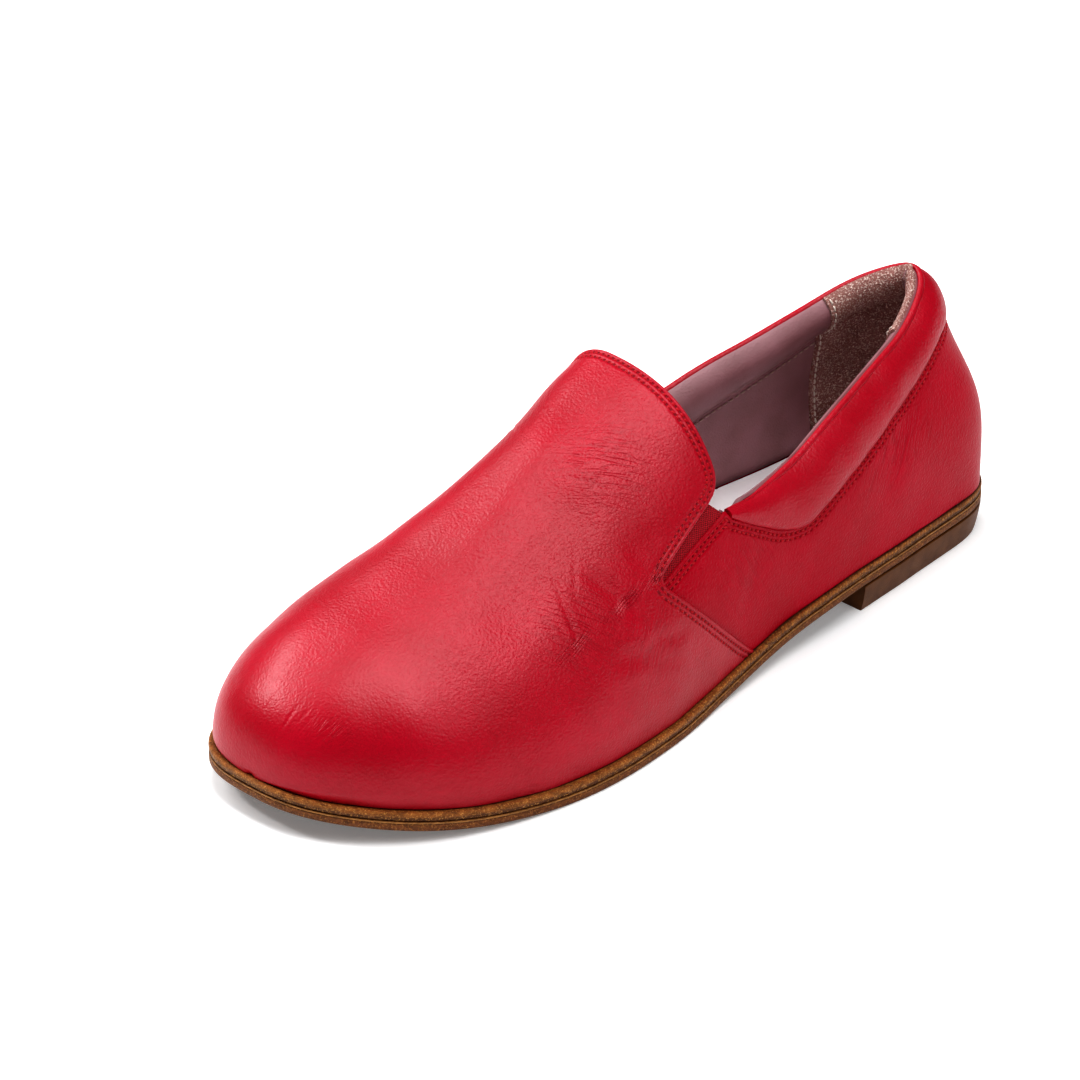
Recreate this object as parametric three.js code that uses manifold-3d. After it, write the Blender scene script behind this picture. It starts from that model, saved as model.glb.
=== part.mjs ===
// A leather slip-on shoe for the left foot, with an elastic wedge at each side of its throat.
// Lengths are in millimetres. +X points to the toe, +Y to the outer side of the foot and +Z up.
import * as THREE from "three";
import { mergeVertices } from "three/addons/utils/BufferGeometryUtils.js";
import Module from "manifold-3d";

const wasm = await Module();
wasm.setup();

// The sole
const shoeLength = 270;
const ballWidth = 95;
const heelWidth = 59;
const heelRound = 39; // how far the curve of the back reaches forward
const toeRound = 75; // how far the curve of the toe reaches back
const heelHeight = 8.6;
const heelLength = 70;
const heelTaper = 1.5; // how much narrower the heel is at the ground than under the sole
const outsoleThickness = 2.9;
const midsoleThickness = 2.4;
const edgeChamfer = 0.4;
const archEnd = 155; // where the sole comes down to the ground, from the back
const treadEnd = 197; // where the sole leaves the ground again
const toeSpring = 7;
const springCurl = 1.8; // how late the toe's rise begins: 1 is a straight ramp
const heelLedge = 0.7; // how far the sole stands out from the upper at the back
const toeLedge = 2.4;

// The upper
const instepHeight = 89; // top of the flap, above the ground
const toeHeight = 44; // top of the toe, above the ground
const backHeight = 66; // top of the collar at the heel, above the sole
const sideHeight = 47.3; // top of the quarter beside the elastic, above the sole
const heelLean = 27; // how far the back of the last leans forward over its height
const noseLength = 59;
const counterSwell = 2.1; // how far the counter swells out behind the foot's heel
const swellHeight = 24;
const wall = 2.2;
const vampStep = 1.2; // the vamp's leather lies over the quarters' by this much
const vampLength = 139.5; // from the toe back to the edge of the flap
const flapCorner = 6;
const seamRun = 39.5; // how far the side seam runs back on its way down to the sole

// The elastic wedges
const elasticThickness = 1.4;
const elasticRecess = 0.6;
const wedgeReach = 30; // how far the wedge's point lies ahead of the collar's end
const wedgeDrop = 9.6; // how far the wedge's point lies below the collar's end
const wedgeMouth = 6.8; // height of its open end
const wedgePoint = 1.6; // width at its blunt point

// The collar
const collarDepth = 17.5;
const collarThickness = 7.2;
const collarProud = 2.6; // how far the roll stands out from the quarter
const collarGap = 1.3; // how far the wedge's rear edge starts behind the edge of the flap
const collarSetBack = 1.5; // how far the collar ends behind that
const rollSquareness = 0.75; // how boxy the roll's section is: 1 is an ellipse

// The sock inside
const insoleThickness = 5.2;
const insoleGap = 0.8; // between the sock's edge and the inside of the upper
const clearance = 0.3;

// How finely the surfaces are divided
const stationCount = 46;
const ribSteps = 12;
const collarSteps = 28; // along each side of the collar
const collarSides = 14;
const heelSteps = 26;
const cornerSteps = 5;
const halvings = 30; // of the range, to find a height on a rib

const soleThickness = outsoleThickness + clearance + midsoleThickness;
const flapX = shoeLength - vampLength;
const collarEndX = flapX - collarGap;
const beyond = 2 * shoeLength; // safely past the shoe in any direction
const below = 4 * wall; // safely past the upper's lower edge

// A curve through the rows of a table: the value of one column at any share along it.
function curve(rows, column) {
  const at = rows.map((row) => row.along);
  const value = rows.map((row) => row[column]);
  const steps = at.slice(1).map((a, i) => a - at[i]);
  const slopes = steps.map((step, i) => (value[i + 1] - value[i]) / step);
  const last = slopes.length - 1;
  const tangents = value.map((_, i) => {
    if (i === 0) return slopes[0];
    if (i > last) return slopes[last];
    return (slopes[i - 1] * steps[i] + slopes[i] * steps[i - 1]) / (steps[i - 1] + steps[i]);
  });
  return (share) => {
    const s = Math.min(Math.max(share, at[0]), at[last + 1]);
    let i = 0;
    while (i < last && s > at[i + 1]) i += 1;
    const t = (s - at[i]) / steps[i];
    const rise = t * t * (3 - 2 * t);
    const lead = t * (1 - t) * (1 - t) * tangents[i];
    const trail = t * t * (t - 1) * tangents[i + 1];
    return value[i] + (value[i + 1] - value[i]) * rise + steps[i] * (lead + trail);
  };
}

const clamp = (value) => Math.min(Math.max(value, 0), 1);
const smooth = (value) => clamp(value) ** 2 * (3 - 2 * clamp(value));
// A rounded end: 1 away from the end, falling to 0 at it with an upright tangent.
const roundedEnd = (share, squareness) => (1 - clamp(share) ** squareness) ** (1 / squareness);

// The sole's outline from the back (0) to the toe (1): the centre line as a share of the ball width,
// and the half width as shares of half the ball width and half the heel width.
const outlineRows = [
  { along: 0.0, centre: 0.006, ball: 0.0, heel: 1.0 },
  { along: 0.1, centre: -0.009, ball: 0.0, heel: 0.915 },
  { along: 0.2, centre: 0.013, ball: 0.0, heel: 0.963 },
  { along: 0.3, centre: 0.025, ball: 0.158, heel: 0.8 },
  { along: 0.4, centre: 0.027, ball: 0.395, heel: 0.5 },
  { along: 0.5, centre: 0.041, ball: 0.66, heel: 0.2 },
  { along: 0.6, centre: 0.063, ball: 0.85, heel: 0.05 },
  { along: 0.7, centre: 0.049, ball: 0.98, heel: 0.0 },
  { along: 0.8, centre: 0.022, ball: 0.995, heel: 0.0 },
  { along: 0.9, centre: -0.004, ball: 0.947, heel: 0.0 },
  { along: 1.0, centre: -0.046, ball: 0.83, heel: 0.0 },
];
const heelSquareness = 2.25;
const toeSquareness = 2.75;
const outlineCentre = curve(outlineRows, "centre");
const outlineBall = curve(outlineRows, "ball");
const outlineHeel = curve(outlineRows, "heel");

function halfWidth(x) {
  const along = x / shoeLength;
  const full = (outlineBall(along) * ballWidth + outlineHeel(along) * heelWidth) / 2;
  const back = roundedEnd(1 - x / heelRound, heelSquareness);
  const front = roundedEnd((x - shoeLength + toeRound) / toeRound, toeSquareness);
  return full * back * front;
}

// A point of the outline: station runs from 0 at the back to 1 at the toe, side is 1 or -1.
function outlinePoint(station, side) {
  const x = (shoeLength * (1 - Math.cos(Math.PI * station))) / 2;
  return [x, outlineCentre(x / shoeLength) * ballWidth + side * halfWidth(x)];
}

// The outline drawn inwards by a distance, square to its own edge.
function insetPoint(station, side, inset) {
  const [x, y] = outlinePoint(station, side);
  if (station <= 0) return [x + inset, y];
  if (station >= 1) return [x - inset, y];
  const nudge = 1e-4;
  const [x0, y0] = outlinePoint(Math.max(station - nudge, 0), side);
  const [x1, y1] = outlinePoint(Math.min(station + nudge, 1), side);
  const run = Math.hypot(x1 - x0, y1 - y0);
  return [x + (side * (y1 - y0) * inset) / run, y - (side * (x1 - x0) * inset) / run];
}

// The ledge of the sole around the upper, as shares of the heel's and the toe's.
const ledgeRows = [
  { along: 0.0, heel: 1.0, toe: 0.0 },
  { along: 0.22, heel: 1.0, toe: 0.08 },
  { along: 0.5, heel: 0.3, toe: 0.75 },
  { along: 1.0, heel: 0.0, toe: 1.0 },
];
const ledgeHeel = curve(ledgeRows, "heel");
const ledgeToe = curve(ledgeRows, "toe");

function ledge(station) {
  const along = (1 - Math.cos(Math.PI * station)) / 2;
  return ledgeHeel(along) * heelLedge + ledgeToe(along) * toeLedge;
}

// Height of the sole's underside: level over the heel, down the arch, flat at the ball, up at the toe.
function soleBottom(x) {
  const arch = heelHeight * (1 - smooth((x - heelLength) / (archEnd - heelLength)));
  const spring = toeSpring * clamp((x - treadEnd) / (shoeLength - treadEnd)) ** springCurl;
  return arch + spring;
}

const soleTop = (x) => soleBottom(x) + soleThickness;

// The last's ridge line: its height as shares of the instep's and the toe's height, and how far it
// lies to the inner side as a share of the ball width. Over the opening it is only a guide.
const ridgeRows = [
  { along: 0.0, instep: 1.124, toe: 0.0, inward: 0.0 },
  { along: 0.1, instep: 1.1, toe: 0.0, inward: 0.0 },
  { along: 0.22, instep: 1.067, toe: 0.0, inward: 0.0 },
  { along: 0.33, instep: 1.045, toe: 0.0, inward: 0.05 },
  { along: 0.46, instep: 1.0, toe: 0.0, inward: 0.095 },
  { along: 0.555, instep: 0.8, toe: 0.18, inward: 0.068 },
  { along: 0.665, instep: 0.45, toe: 0.58, inward: 0.053 },
  { along: 0.76, instep: 0.16, toe: 0.91, inward: 0.058 },
  { along: 0.83, instep: 0.04, toe: 1.0, inward: 0.06 },
  { along: 0.91, instep: 0.0, toe: 1.0, inward: 0.056 },
  { along: 1.0, instep: 0.0, toe: 1.0, inward: 0.046 },
];
const ridgeInstep = curve(ridgeRows, "instep");
const ridgeToe = curve(ridgeRows, "toe");
const ridgeInward = curve(ridgeRows, "inward");

// The shape of the last's cross sections: how square they are at the top, how far their sides
// rise before they turn in, and how much of the counter's swell they have.
const sectionRows = [
  { along: 0.0, crown: 0.0, rise: 0.5, swell: 1.0 },
  { along: 0.1, crown: 0.38, rise: 0.52, swell: 0.97 },
  { along: 0.22, crown: 0.6, rise: 0.56, swell: 0.93 },
  { along: 0.46, crown: 0.88, rise: 0.67, swell: 0.55 },
  { along: 0.6, crown: 0.66, rise: 0.58, swell: 0.43 },
  { along: 0.74, crown: 0.62, rise: 0.56, swell: 0.43 },
  { along: 0.89, crown: 0.65, rise: 0.6, swell: 0.43 },
  { along: 1.0, crown: 0.72, rise: 0.62, swell: 0.43 },
];
const sectionCrown = curve(sectionRows, "crown");
const sectionRise = curve(sectionRows, "rise");
const sectionSwell = curve(sectionRows, "swell");
const noseSquareness = 2.45;
const leanEnd = 0.45; // share of the length where the sections stand upright

function ridgePoint(footX) {
  const noseTip = shoeLength - toeLedge;
  const x = footX + heelLean * Math.max(1 - footX / (leanEnd * shoeLength), 0) ** 2;
  const along = x / shoeLength;
  const height = ridgeInstep(along) * instepHeight + ridgeToe(along) * toeHeight;
  const nose = roundedEnd((x - noseTip + noseLength) / noseLength, noseSquareness);
  return [x, -ridgeInward(along) * ballWidth, soleTop(x) + (height - soleTop(x)) * nose];
}

// One rib of the last, a cubic from the sole's edge (level 0) to the ridge (level 1).
function lastPoint(station, side, level) {
  const [footX, footY] = insetPoint(station, side, ledge(station));
  const footZ = soleTop(footX);
  const [topX, topY, topZ] = ridgePoint(footX);
  const along = footX / shoeLength;
  const crownY = topY + side * sectionCrown(along) * Math.abs(footY - topY);
  const riseZ = footZ + sectionRise(along) * (topZ - footZ);
  const u = 1 - level;
  const foot = u * u * u;
  const flank = 3 * u * u * level;
  const crown = 3 * u * level * level;
  const top = level * level * level;
  return [
    footX * (foot + flank) + topX * (crown + top),
    footY * (foot + flank) + crownY * crown + topY * top,
    footZ * foot + riseZ * flank + topZ * (crown + top),
  ];
}

// Unit normal of the last, pointing out.
function lastNormal(station, side, level) {
  if (station >= 1) return [1, 0, 0];
  const nudge = 1e-3;
  const [a0, a1] = [Math.max(station - nudge, 0), Math.min(station + nudge, 1)];
  const [t0, t1] = [Math.max(level - nudge, 0), Math.min(level + nudge, 1)];
  const along = new THREE.Vector3(...lastPoint(a1, side, level));
  along.sub(new THREE.Vector3(...lastPoint(a0, side, level)));
  const up = new THREE.Vector3(...lastPoint(station, side, t1));
  up.sub(new THREE.Vector3(...lastPoint(station, side, t0)));
  const normal = up.cross(along).multiplyScalar(side);
  if (station <= 0) normal.y = 0;
  return normal.normalize().toArray();
}

// The leather's surface, a distance out from the last, with the swell of the counter.
// The two sides share one rib at the back, and all ribs end in one point at the toe.
function skinPoint(station, anySide, anyLevel, out) {
  const side = station <= 0 ? 1 : anySide;
  const level = station >= 1 ? 0 : anyLevel;
  const [x, y, z] = lastPoint(station, side, level);
  const height = (z - soleTop(x)) / (2 * swellHeight);
  const bump = height > 0 && height < 1 ? Math.sin(Math.PI * height) ** 2 : 0;
  const reach = out + bump * counterSwell * sectionSwell(x / shoeLength);
  const [nx, ny, nz] = lastNormal(station, side, level);
  const footHeight = soleTop(x + nx * reach) + clearance;
  if (level <= 0) return [x + nx * reach, y + ny * reach, footHeight];
  return [x + nx * reach, y + ny * reach, z + nz * reach];
}

// The level at which a rib of the last reaches a height.
function levelAt(station, side, height) {
  let low = 0;
  let high = 1;
  for (let i = 0; i < halvings; i += 1) {
    const middle = (low + high) / 2;
    if (lastPoint(station, side, middle)[2] < height) low = middle;
    else high = middle;
  }
  return (low + high) / 2;
}

// A three.js geometry as a solid, with shared vertices merged and empty triangles dropped.
function solid(geometry) {
  const plain = geometry.index ? geometry.toNonIndexed() : geometry.clone();
  plain.deleteAttribute("normal");
  plain.deleteAttribute("uv");
  const merged = mergeVertices(plain, 1e-4);
  const index = [];
  for (let i = 0; i < merged.index.count; i += 3) {
    const [a, b, c] = [0, 1, 2].map((k) => merged.index.getX(i + k));
    if (a !== b && b !== c && c !== a) index.push(a, b, c);
  }
  return new wasm.Manifold(
    new wasm.Mesh({
      numProp: 3,
      vertProperties: new Float32Array(merged.attributes.position.array),
      triVerts: new Uint32Array(index),
    }),
  );
}

// A closed surface through rings of equal length. An end whose ring is folded flat or shrunk to a
// point closes by itself, and any other end takes a flat cap.
function loft(rings, startCap, endCap) {
  const sides = rings[0].length;
  const positions = rings.flat(2);
  const index = [];
  for (let i = 0; i < rings.length - 1; i += 1)
    for (let j = 0; j < sides; j += 1) {
      const a = i * sides + j;
      const b = i * sides + ((j + 1) % sides);
      index.push(a, b, a + sides, b, b + sides, a + sides);
    }
  const lastRing = (rings.length - 1) * sides;
  for (let j = 1; j < sides - 1; j += 1) {
    if (startCap) index.push(0, j + 1, j);
    if (endCap) index.push(lastRing, lastRing + j, lastRing + j + 1);
  }
  const geometry = new THREE.BufferGeometry();
  geometry.setAttribute("position", new THREE.Float32BufferAttribute(positions, 3));
  geometry.setIndex(index);
  return solid(geometry);
}

// A side outline of [x, z] points, or a THREE.Shape of them, carried across the shoe between two y.
function across(outline, fromY = -beyond, toY = beyond) {
  const isShape = outline instanceof THREE.Shape;
  const shape = isShape ? outline : new THREE.Shape(outline.map(([x, z]) => new THREE.Vector2(x, z)));
  const options = { depth: toY - fromY, bevelEnabled: false, curveSegments: cornerSteps };
  const geometry = new THREE.ExtrudeGeometry(shape, options);
  geometry.rotateX(Math.PI / 2);
  geometry.translate(0, toY, 0);
  return solid(geometry);
}

const stations = Array.from({ length: stationCount + 1 }, (_, i) => i / stationCount);
const levels = Array.from({ length: ribSteps + 1 }, (_, j) => j / ribSteps);

// The whole last's skin as a solid, a distance out, with its underside lowered by a drop.
function lastSolid(out, drop) {
  const rings = stations.map((station) => {
    const outer = levels.map((level) => skinPoint(station, 1, level, out));
    const inner = levels.map((level) => skinPoint(station, -1, level, out));
    const ring = [...outer, ...inner.slice(0, -1).reverse()];
    if (drop === 0) return ring;
    const lowered = ([x, y, z]) => [x, y, z - drop];
    return [lowered(ring[0]), ...ring, lowered(ring[ring.length - 1])];
  });
  return loft(rings, false, false);
}

// The topline of the collar: its height above the sole as shares of the back's and the side's
// height, the collar's depth and its thickness, from the heel (0) to the elastic (1).
const collarRows = [
  { along: 0.0, back: 1.0, side: 0.0, depth: 0.64, thick: 0.9 },
  { along: 0.06, back: 0.97, side: 0.0, depth: 0.62, thick: 0.9 },
  { along: 0.13, back: 0.935, side: 0.0, depth: 0.61, thick: 0.92 },
  { along: 0.26, back: 0.865, side: 0.0, depth: 0.67, thick: 0.95 },
  { along: 0.4, back: 0.76, side: 0.075, depth: 0.79, thick: 0.98 },
  { along: 0.54, back: 0.6, side: 0.215, depth: 0.89, thick: 1.0 },
  { along: 0.65, back: 0.43, side: 0.395, depth: 0.96, thick: 1.0 },
  { along: 0.75, back: 0.28, side: 0.555, depth: 1.0, thick: 0.97 },
  { along: 0.83, back: 0.15, side: 0.73, depth: 0.8, thick: 0.85 },
  { along: 0.9, back: 0.075, side: 0.845, depth: 0.48, thick: 0.68 },
  { along: 1.0, back: 0.0, side: 1.0, depth: 0.08, thick: 0.4 },
];
const collarBack = curve(collarRows, "back");
const collarSide = curve(collarRows, "side");
const collarDeep = curve(collarRows, "depth");
const collarThick = curve(collarRows, "thick");

// The station whose rib stands at a distance from the back of the sole.
const stationAt = (x) => Math.acos(1 - (2 * x) / shoeLength) / Math.PI;
const collarEnd = stationAt(collarEndX - collarSetBack);

function toplineHeight(station) {
  const [x] = insetPoint(station, 1, ledge(station));
  const along = clamp(x / collarEndX);
  return soleTop(x) + collarBack(along) * backHeight + collarSide(along) * sideHeight;
}

function seamHeight(station) {
  const [x] = insetPoint(station, 1, ledge(station));
  return toplineHeight(station) - collarDeep(clamp(x / collarEndX)) * collarDepth;
}

// One ring of the collar's roll: a rounded section between the seam and the topline.
function collarRing(station, side) {
  const [x] = insetPoint(station, side, ledge(station));
  const low = seamHeight(station) + clearance;
  const high = toplineHeight(station);
  const thick = collarThick(clamp(x / collarEndX)) * collarThickness;
  const proud = collarThick(clamp(x / collarEndX)) * collarProud;
  return Array.from({ length: collarSides }, (_, i) => {
    const turn = (2 * Math.PI * i) / collarSides;
    const squarer = (value) => Math.sign(value) * Math.abs(value) ** rollSquareness;
    const height = (low + high) / 2 + (squarer(Math.sin(turn)) * (high - low)) / 2;
    const out = proud - thick / 2 + (squarer(Math.cos(turn)) * thick) / 2;
    const [x0, y0] = skinPoint(station, side, levelAt(station, side, height), out);
    return [x0, y0, height];
  });
}

function makeCollar() {
  const rings = [];
  for (let i = -collarSteps; i <= collarSteps; i += 1) {
    const station = (collarEnd * Math.abs(i)) / collarSteps;
    rings.push(collarRing(station, i < 0 ? -1 : 1));
  }
  return loft(rings, true, true);
}

// The elastic wedge's notch in the side view: its rear edge starts at the collar's end, its front
// edge at the flap's corner, and both run forwards and down to a blunt point.
const rearTop = new THREE.Vector2(collarEndX, toplineHeight(collarEnd));
const frontTop = new THREE.Vector2(flapX, rearTop.y + wedgeMouth);
const point = new THREE.Vector2(rearTop.x + wedgeReach, rearTop.y - wedgeDrop);
const rearFoot = new THREE.Vector2(point.x - wedgePoint / 2, point.y - wedgePoint / 2);
const frontFoot = new THREE.Vector2(point.x, point.y + wedgePoint / 2);
const rearRun = rearFoot.clone().sub(rearTop).normalize();
const frontRun = frontFoot.clone().sub(frontTop).normalize();
const cornerFoot = frontTop.clone().addScaledVector(frontRun, flapCorner);

// The side outline of everything that is cut away above the quarters, the wedges and the throat.
function openingOutline() {
  const shape = new THREE.Shape();
  shape.moveTo(-beyond, beyond);
  shape.lineTo(-beyond, seamHeight(0));
  for (let i = 0; i <= collarSteps; i += 1) {
    const station = (collarEnd * i) / collarSteps;
    const height = seamHeight(station);
    const [x] = lastPoint(station, 1, levelAt(station, 1, height));
    shape.lineTo(i < collarSteps ? x : x + 2 * clearance, height);
  }
  for (const corner of [rearTop, rearFoot, frontFoot, cornerFoot]) shape.lineTo(corner.x, corner.y);
  shape.quadraticCurveTo(frontTop.x, frontTop.y, flapX, frontTop.y + flapCorner);
  shape.lineTo(flapX, beyond);
  return shape;
}

// The side outline of the vamp, which lies over the quarters: the flap, the wedge's front edge,
// and the seam from the wedge's point down and back to the sole.
function vampOutline() {
  const footX = point.x - seamRun;
  const slope = (point.y - soleTop(footX)) / seamRun;
  const past = 3 * wall; // carries the seam's line on below the sole's top
  return [
    [flapX - wall, beyond],
    [flapX - wall, frontTop.y],
    [point.x - wedgePoint, point.y],
    [footX - past, point.y - (seamRun + past) * slope],
    [footX - past, -beyond],
    [beyond, -beyond],
    [beyond, beyond],
  ];
}

function makeUpper() {
  const opening = across(openingOutline());
  const body = lastSolid(0, 0);
  const vamp = lastSolid(vampStep, 0).intersect(across(vampOutline()));
  const hollow = lastSolid(-wall, below);
  return body.add(vamp).subtract(hollow).subtract(opening);
}

// An elastic wedge sits back from the leather's face, between the edges of its notch.
function makeElastic(side) {
  const inward = (run) => new THREE.Vector2(-run.y, run.x).multiplyScalar(clearance);
  const rearShift = inward(rearRun);
  const frontShift = inward(frontRun).negate();
  const corners = [
    rearTop.clone().add(rearShift),
    rearFoot.clone().add(rearShift).addScaledVector(rearRun, -clearance),
    frontFoot.clone().add(frontShift).addScaledVector(frontRun, -clearance),
    cornerFoot.clone().add(frontShift),
  ];
  const outline = corners.map((corner) => [corner.x, corner.y]);
  const face = lastSolid(-elasticRecess, 0);
  const slab = face.subtract(lastSolid(-elasticRecess - elasticThickness, below));
  const [fromY, toY] = side > 0 ? [0, beyond] : [-beyond, 0];
  return slab.intersect(across(outline, fromY, toY));
}

// A layer of the sole between two heights above its underside, with small chamfers.
function makeLayer(bottom, top) {
  const rings = stations.map((station) => {
    const ringAt = (inset, height) =>
      [1, -1].map((side) => {
        const [x, y] = insetPoint(station, side, inset);
        return [x, y, soleBottom(x) + height];
      });
    const chamfer = Math.min(edgeChamfer, (top - bottom) / 3);
    const [bottomOuter, bottomInner] = ringAt(chamfer, bottom);
    const [lowOuter, lowInner] = ringAt(0, bottom + chamfer);
    const [highOuter, highInner] = ringAt(0, top - chamfer);
    const [topOuter, topInner] = ringAt(chamfer, top);
    return [bottomOuter, lowOuter, highOuter, topOuter, topInner, highInner, lowInner, bottomInner];
  });
  return loft(rings, false, false);
}

// The heel block: the sole's outline drawn in towards the ground, cut off square at the front.
function makeHeel() {
  const heelStation = stationAt(heelLength);
  const top = heelHeight - clearance;
  const chamfer = Math.min(edgeChamfer, top / 3);
  const rings = Array.from({ length: heelSteps + 1 }, (_, i) => {
    const station = (heelStation * i) / heelSteps;
    const pair = (inset, height) =>
      [1, -1].map((side) => [...insetPoint(station, side, inset), height]);
    const [groundOuter, groundInner] = pair(heelTaper + chamfer, 0);
    const [lowOuter, lowInner] = pair(heelTaper, chamfer);
    const [topOuter, topInner] = pair(chamfer / 2, top);
    return [groundOuter, lowOuter, topOuter, topInner, lowInner, groundInner];
  });
  return loft(rings, false, true);
}

// The sock follows the inside of the upper on top of the sole.
function makeInsole() {
  const rings = stations.map((station) => {
    const inset = ledge(station) + wall + insoleGap;
    const pair = (height) =>
      [1, -1].map((side) => {
        const [x, y] = insetPoint(station, side, inset);
        return [x, y, soleTop(x) + clearance + height];
      });
    const [lowOuter, lowInner] = pair(0);
    const [highOuter, highInner] = pair(insoleThickness);
    return [lowOuter, highOuter, highInner, lowInner];
  });
  return loft(rings, false, false);
}

const leather = { color: 0xb8081c, roughness: 0.45, metalness: 0 };
const looks = {
  outsole: { color: 0x6e4526, roughness: 0.6, metalness: 0 },
  midsole: { color: 0x7d5230, roughness: 0.6, metalness: 0 },
  heel: { color: 0x4e321d, roughness: 0.55, metalness: 0 },
  upper: leather,
  collar: leather,
  gore_outer: { color: 0x5e0a12, roughness: 0.9, metalness: 0 },
  gore_inner: { color: 0x5e0a12, roughness: 0.9, metalness: 0 },
  insole: { color: 0xdedee0, roughness: 0.8, metalness: 0 },
};

function meshOf(name, made) {
  const { vertProperties, triVerts } = made.getMesh();
  const geometry = new THREE.BufferGeometry();
  geometry.setAttribute("position", new THREE.Float32BufferAttribute(vertProperties, 3));
  geometry.setIndex(new THREE.Uint32BufferAttribute(triVerts, 1));
  geometry.computeVertexNormals();
  const mesh = new THREE.Mesh(geometry, new THREE.MeshStandardMaterial(looks[name]));
  mesh.name = name;
  return mesh;
}

const shoe = new THREE.Group();
shoe.add(meshOf("outsole", makeLayer(0, outsoleThickness)));
shoe.add(meshOf("midsole", makeLayer(outsoleThickness + clearance, soleThickness)));
shoe.add(meshOf("heel", makeHeel()));
shoe.add(meshOf("upper", makeUpper()));
shoe.add(meshOf("collar", makeCollar()));
shoe.add(meshOf("gore_outer", makeElastic(1)));
shoe.add(meshOf("gore_inner", makeElastic(-1)));
shoe.add(meshOf("insole", makeInsole()));

// The frame's origin is the middle of the heel's flat face on the ground.
shoe.position.x = -heelLength / 2;

export default shoe;
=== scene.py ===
import bpy
import numpy as np
from mathutils import Matrix, Vector


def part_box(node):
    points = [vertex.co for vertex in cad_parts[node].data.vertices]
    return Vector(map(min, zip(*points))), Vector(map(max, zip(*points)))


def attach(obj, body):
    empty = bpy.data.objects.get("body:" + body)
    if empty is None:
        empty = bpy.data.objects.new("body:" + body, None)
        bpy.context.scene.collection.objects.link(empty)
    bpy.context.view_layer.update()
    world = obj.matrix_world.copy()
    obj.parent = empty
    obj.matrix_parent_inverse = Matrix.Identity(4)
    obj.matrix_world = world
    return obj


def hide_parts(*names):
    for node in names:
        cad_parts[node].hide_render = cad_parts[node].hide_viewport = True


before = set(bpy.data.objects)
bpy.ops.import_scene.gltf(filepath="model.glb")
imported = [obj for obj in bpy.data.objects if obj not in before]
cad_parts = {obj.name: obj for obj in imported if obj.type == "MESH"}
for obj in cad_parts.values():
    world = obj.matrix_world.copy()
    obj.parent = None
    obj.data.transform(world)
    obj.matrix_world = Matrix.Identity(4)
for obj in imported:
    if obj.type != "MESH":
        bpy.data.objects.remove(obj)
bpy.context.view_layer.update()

scene = bpy.context.scene
mm = 0.001


# The last
# The foot form that the leather is pulled over, with the outline of the sole around it.
# Its tables hold shares of the shoe's own sizes, from the back of the heel to the toe.
sole_low, sole_high = (np.array(corner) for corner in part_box("outsole"))
heel_back = sole_low[0]
shoe_length = sole_high[0] - sole_low[0]
ball_width = 95 * mm
heel_width = 59 * mm
heel_round = 39 * mm
toe_round = 75 * mm
heel_height = 8.6 * mm
heel_length = 70 * mm
arch_end = 155 * mm
tread_end = 197 * mm
toe_spring = 7 * mm
spring_curl = 1.8
heel_ledge = 0.7 * mm
toe_ledge = 2.4 * mm
outsole_thickness = 2.9 * mm
midsole_thickness = 2.4 * mm
clearance = 0.3 * mm
sole_thickness = outsole_thickness + clearance + midsole_thickness
instep_height = 89 * mm
toe_height = 44 * mm
heel_lean = 27 * mm
lean_end = 0.45
nose_length = 59 * mm
counter_swell = 2.1 * mm
swell_height = 24 * mm
heel_squareness = 2.25
toe_squareness = 2.75
nose_squareness = 2.45


def table(columns, rows):
    """Rows of shares under named columns, the first of which is the share along the shoe."""
    return np.array(rows, dtype=[(name, float) for name in columns.split()])


def curve(rows, column):
    """A column as a smooth function of the share along: a cubic from row to row, whose slope at
    a row is that of its two neighbours, the nearer one counting more."""
    at, value = rows[rows.dtype.names[0]], rows[column]
    step = np.diff(at)
    slope = np.diff(value) / step
    middle = (slope[:-1] * step[1:] + slope[1:] * step[:-1]) / (step[:-1] + step[1:])
    tangent = np.concatenate([slope[:1], middle, slope[-1:]])

    def value_at(share):
        share = np.clip(share, at[0], at[-1])
        row = np.clip(np.searchsorted(at, share, side="right") - 1, 0, len(step) - 1)
        t = (share - at[row]) / step[row]
        lead = t * (1 - t) ** 2 * tangent[row]
        trail = t * t * (t - 1) * tangent[row + 1]
        rise = t * t * (3 - 2 * t)
        return value[row] + (value[row + 1] - value[row]) * rise + step[row] * (lead + trail)

    return value_at


def curves(rows):
    """Every column but the first as such a function, in the table's order."""
    return [curve(rows, column) for column in rows.dtype.names[1:]]


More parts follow.
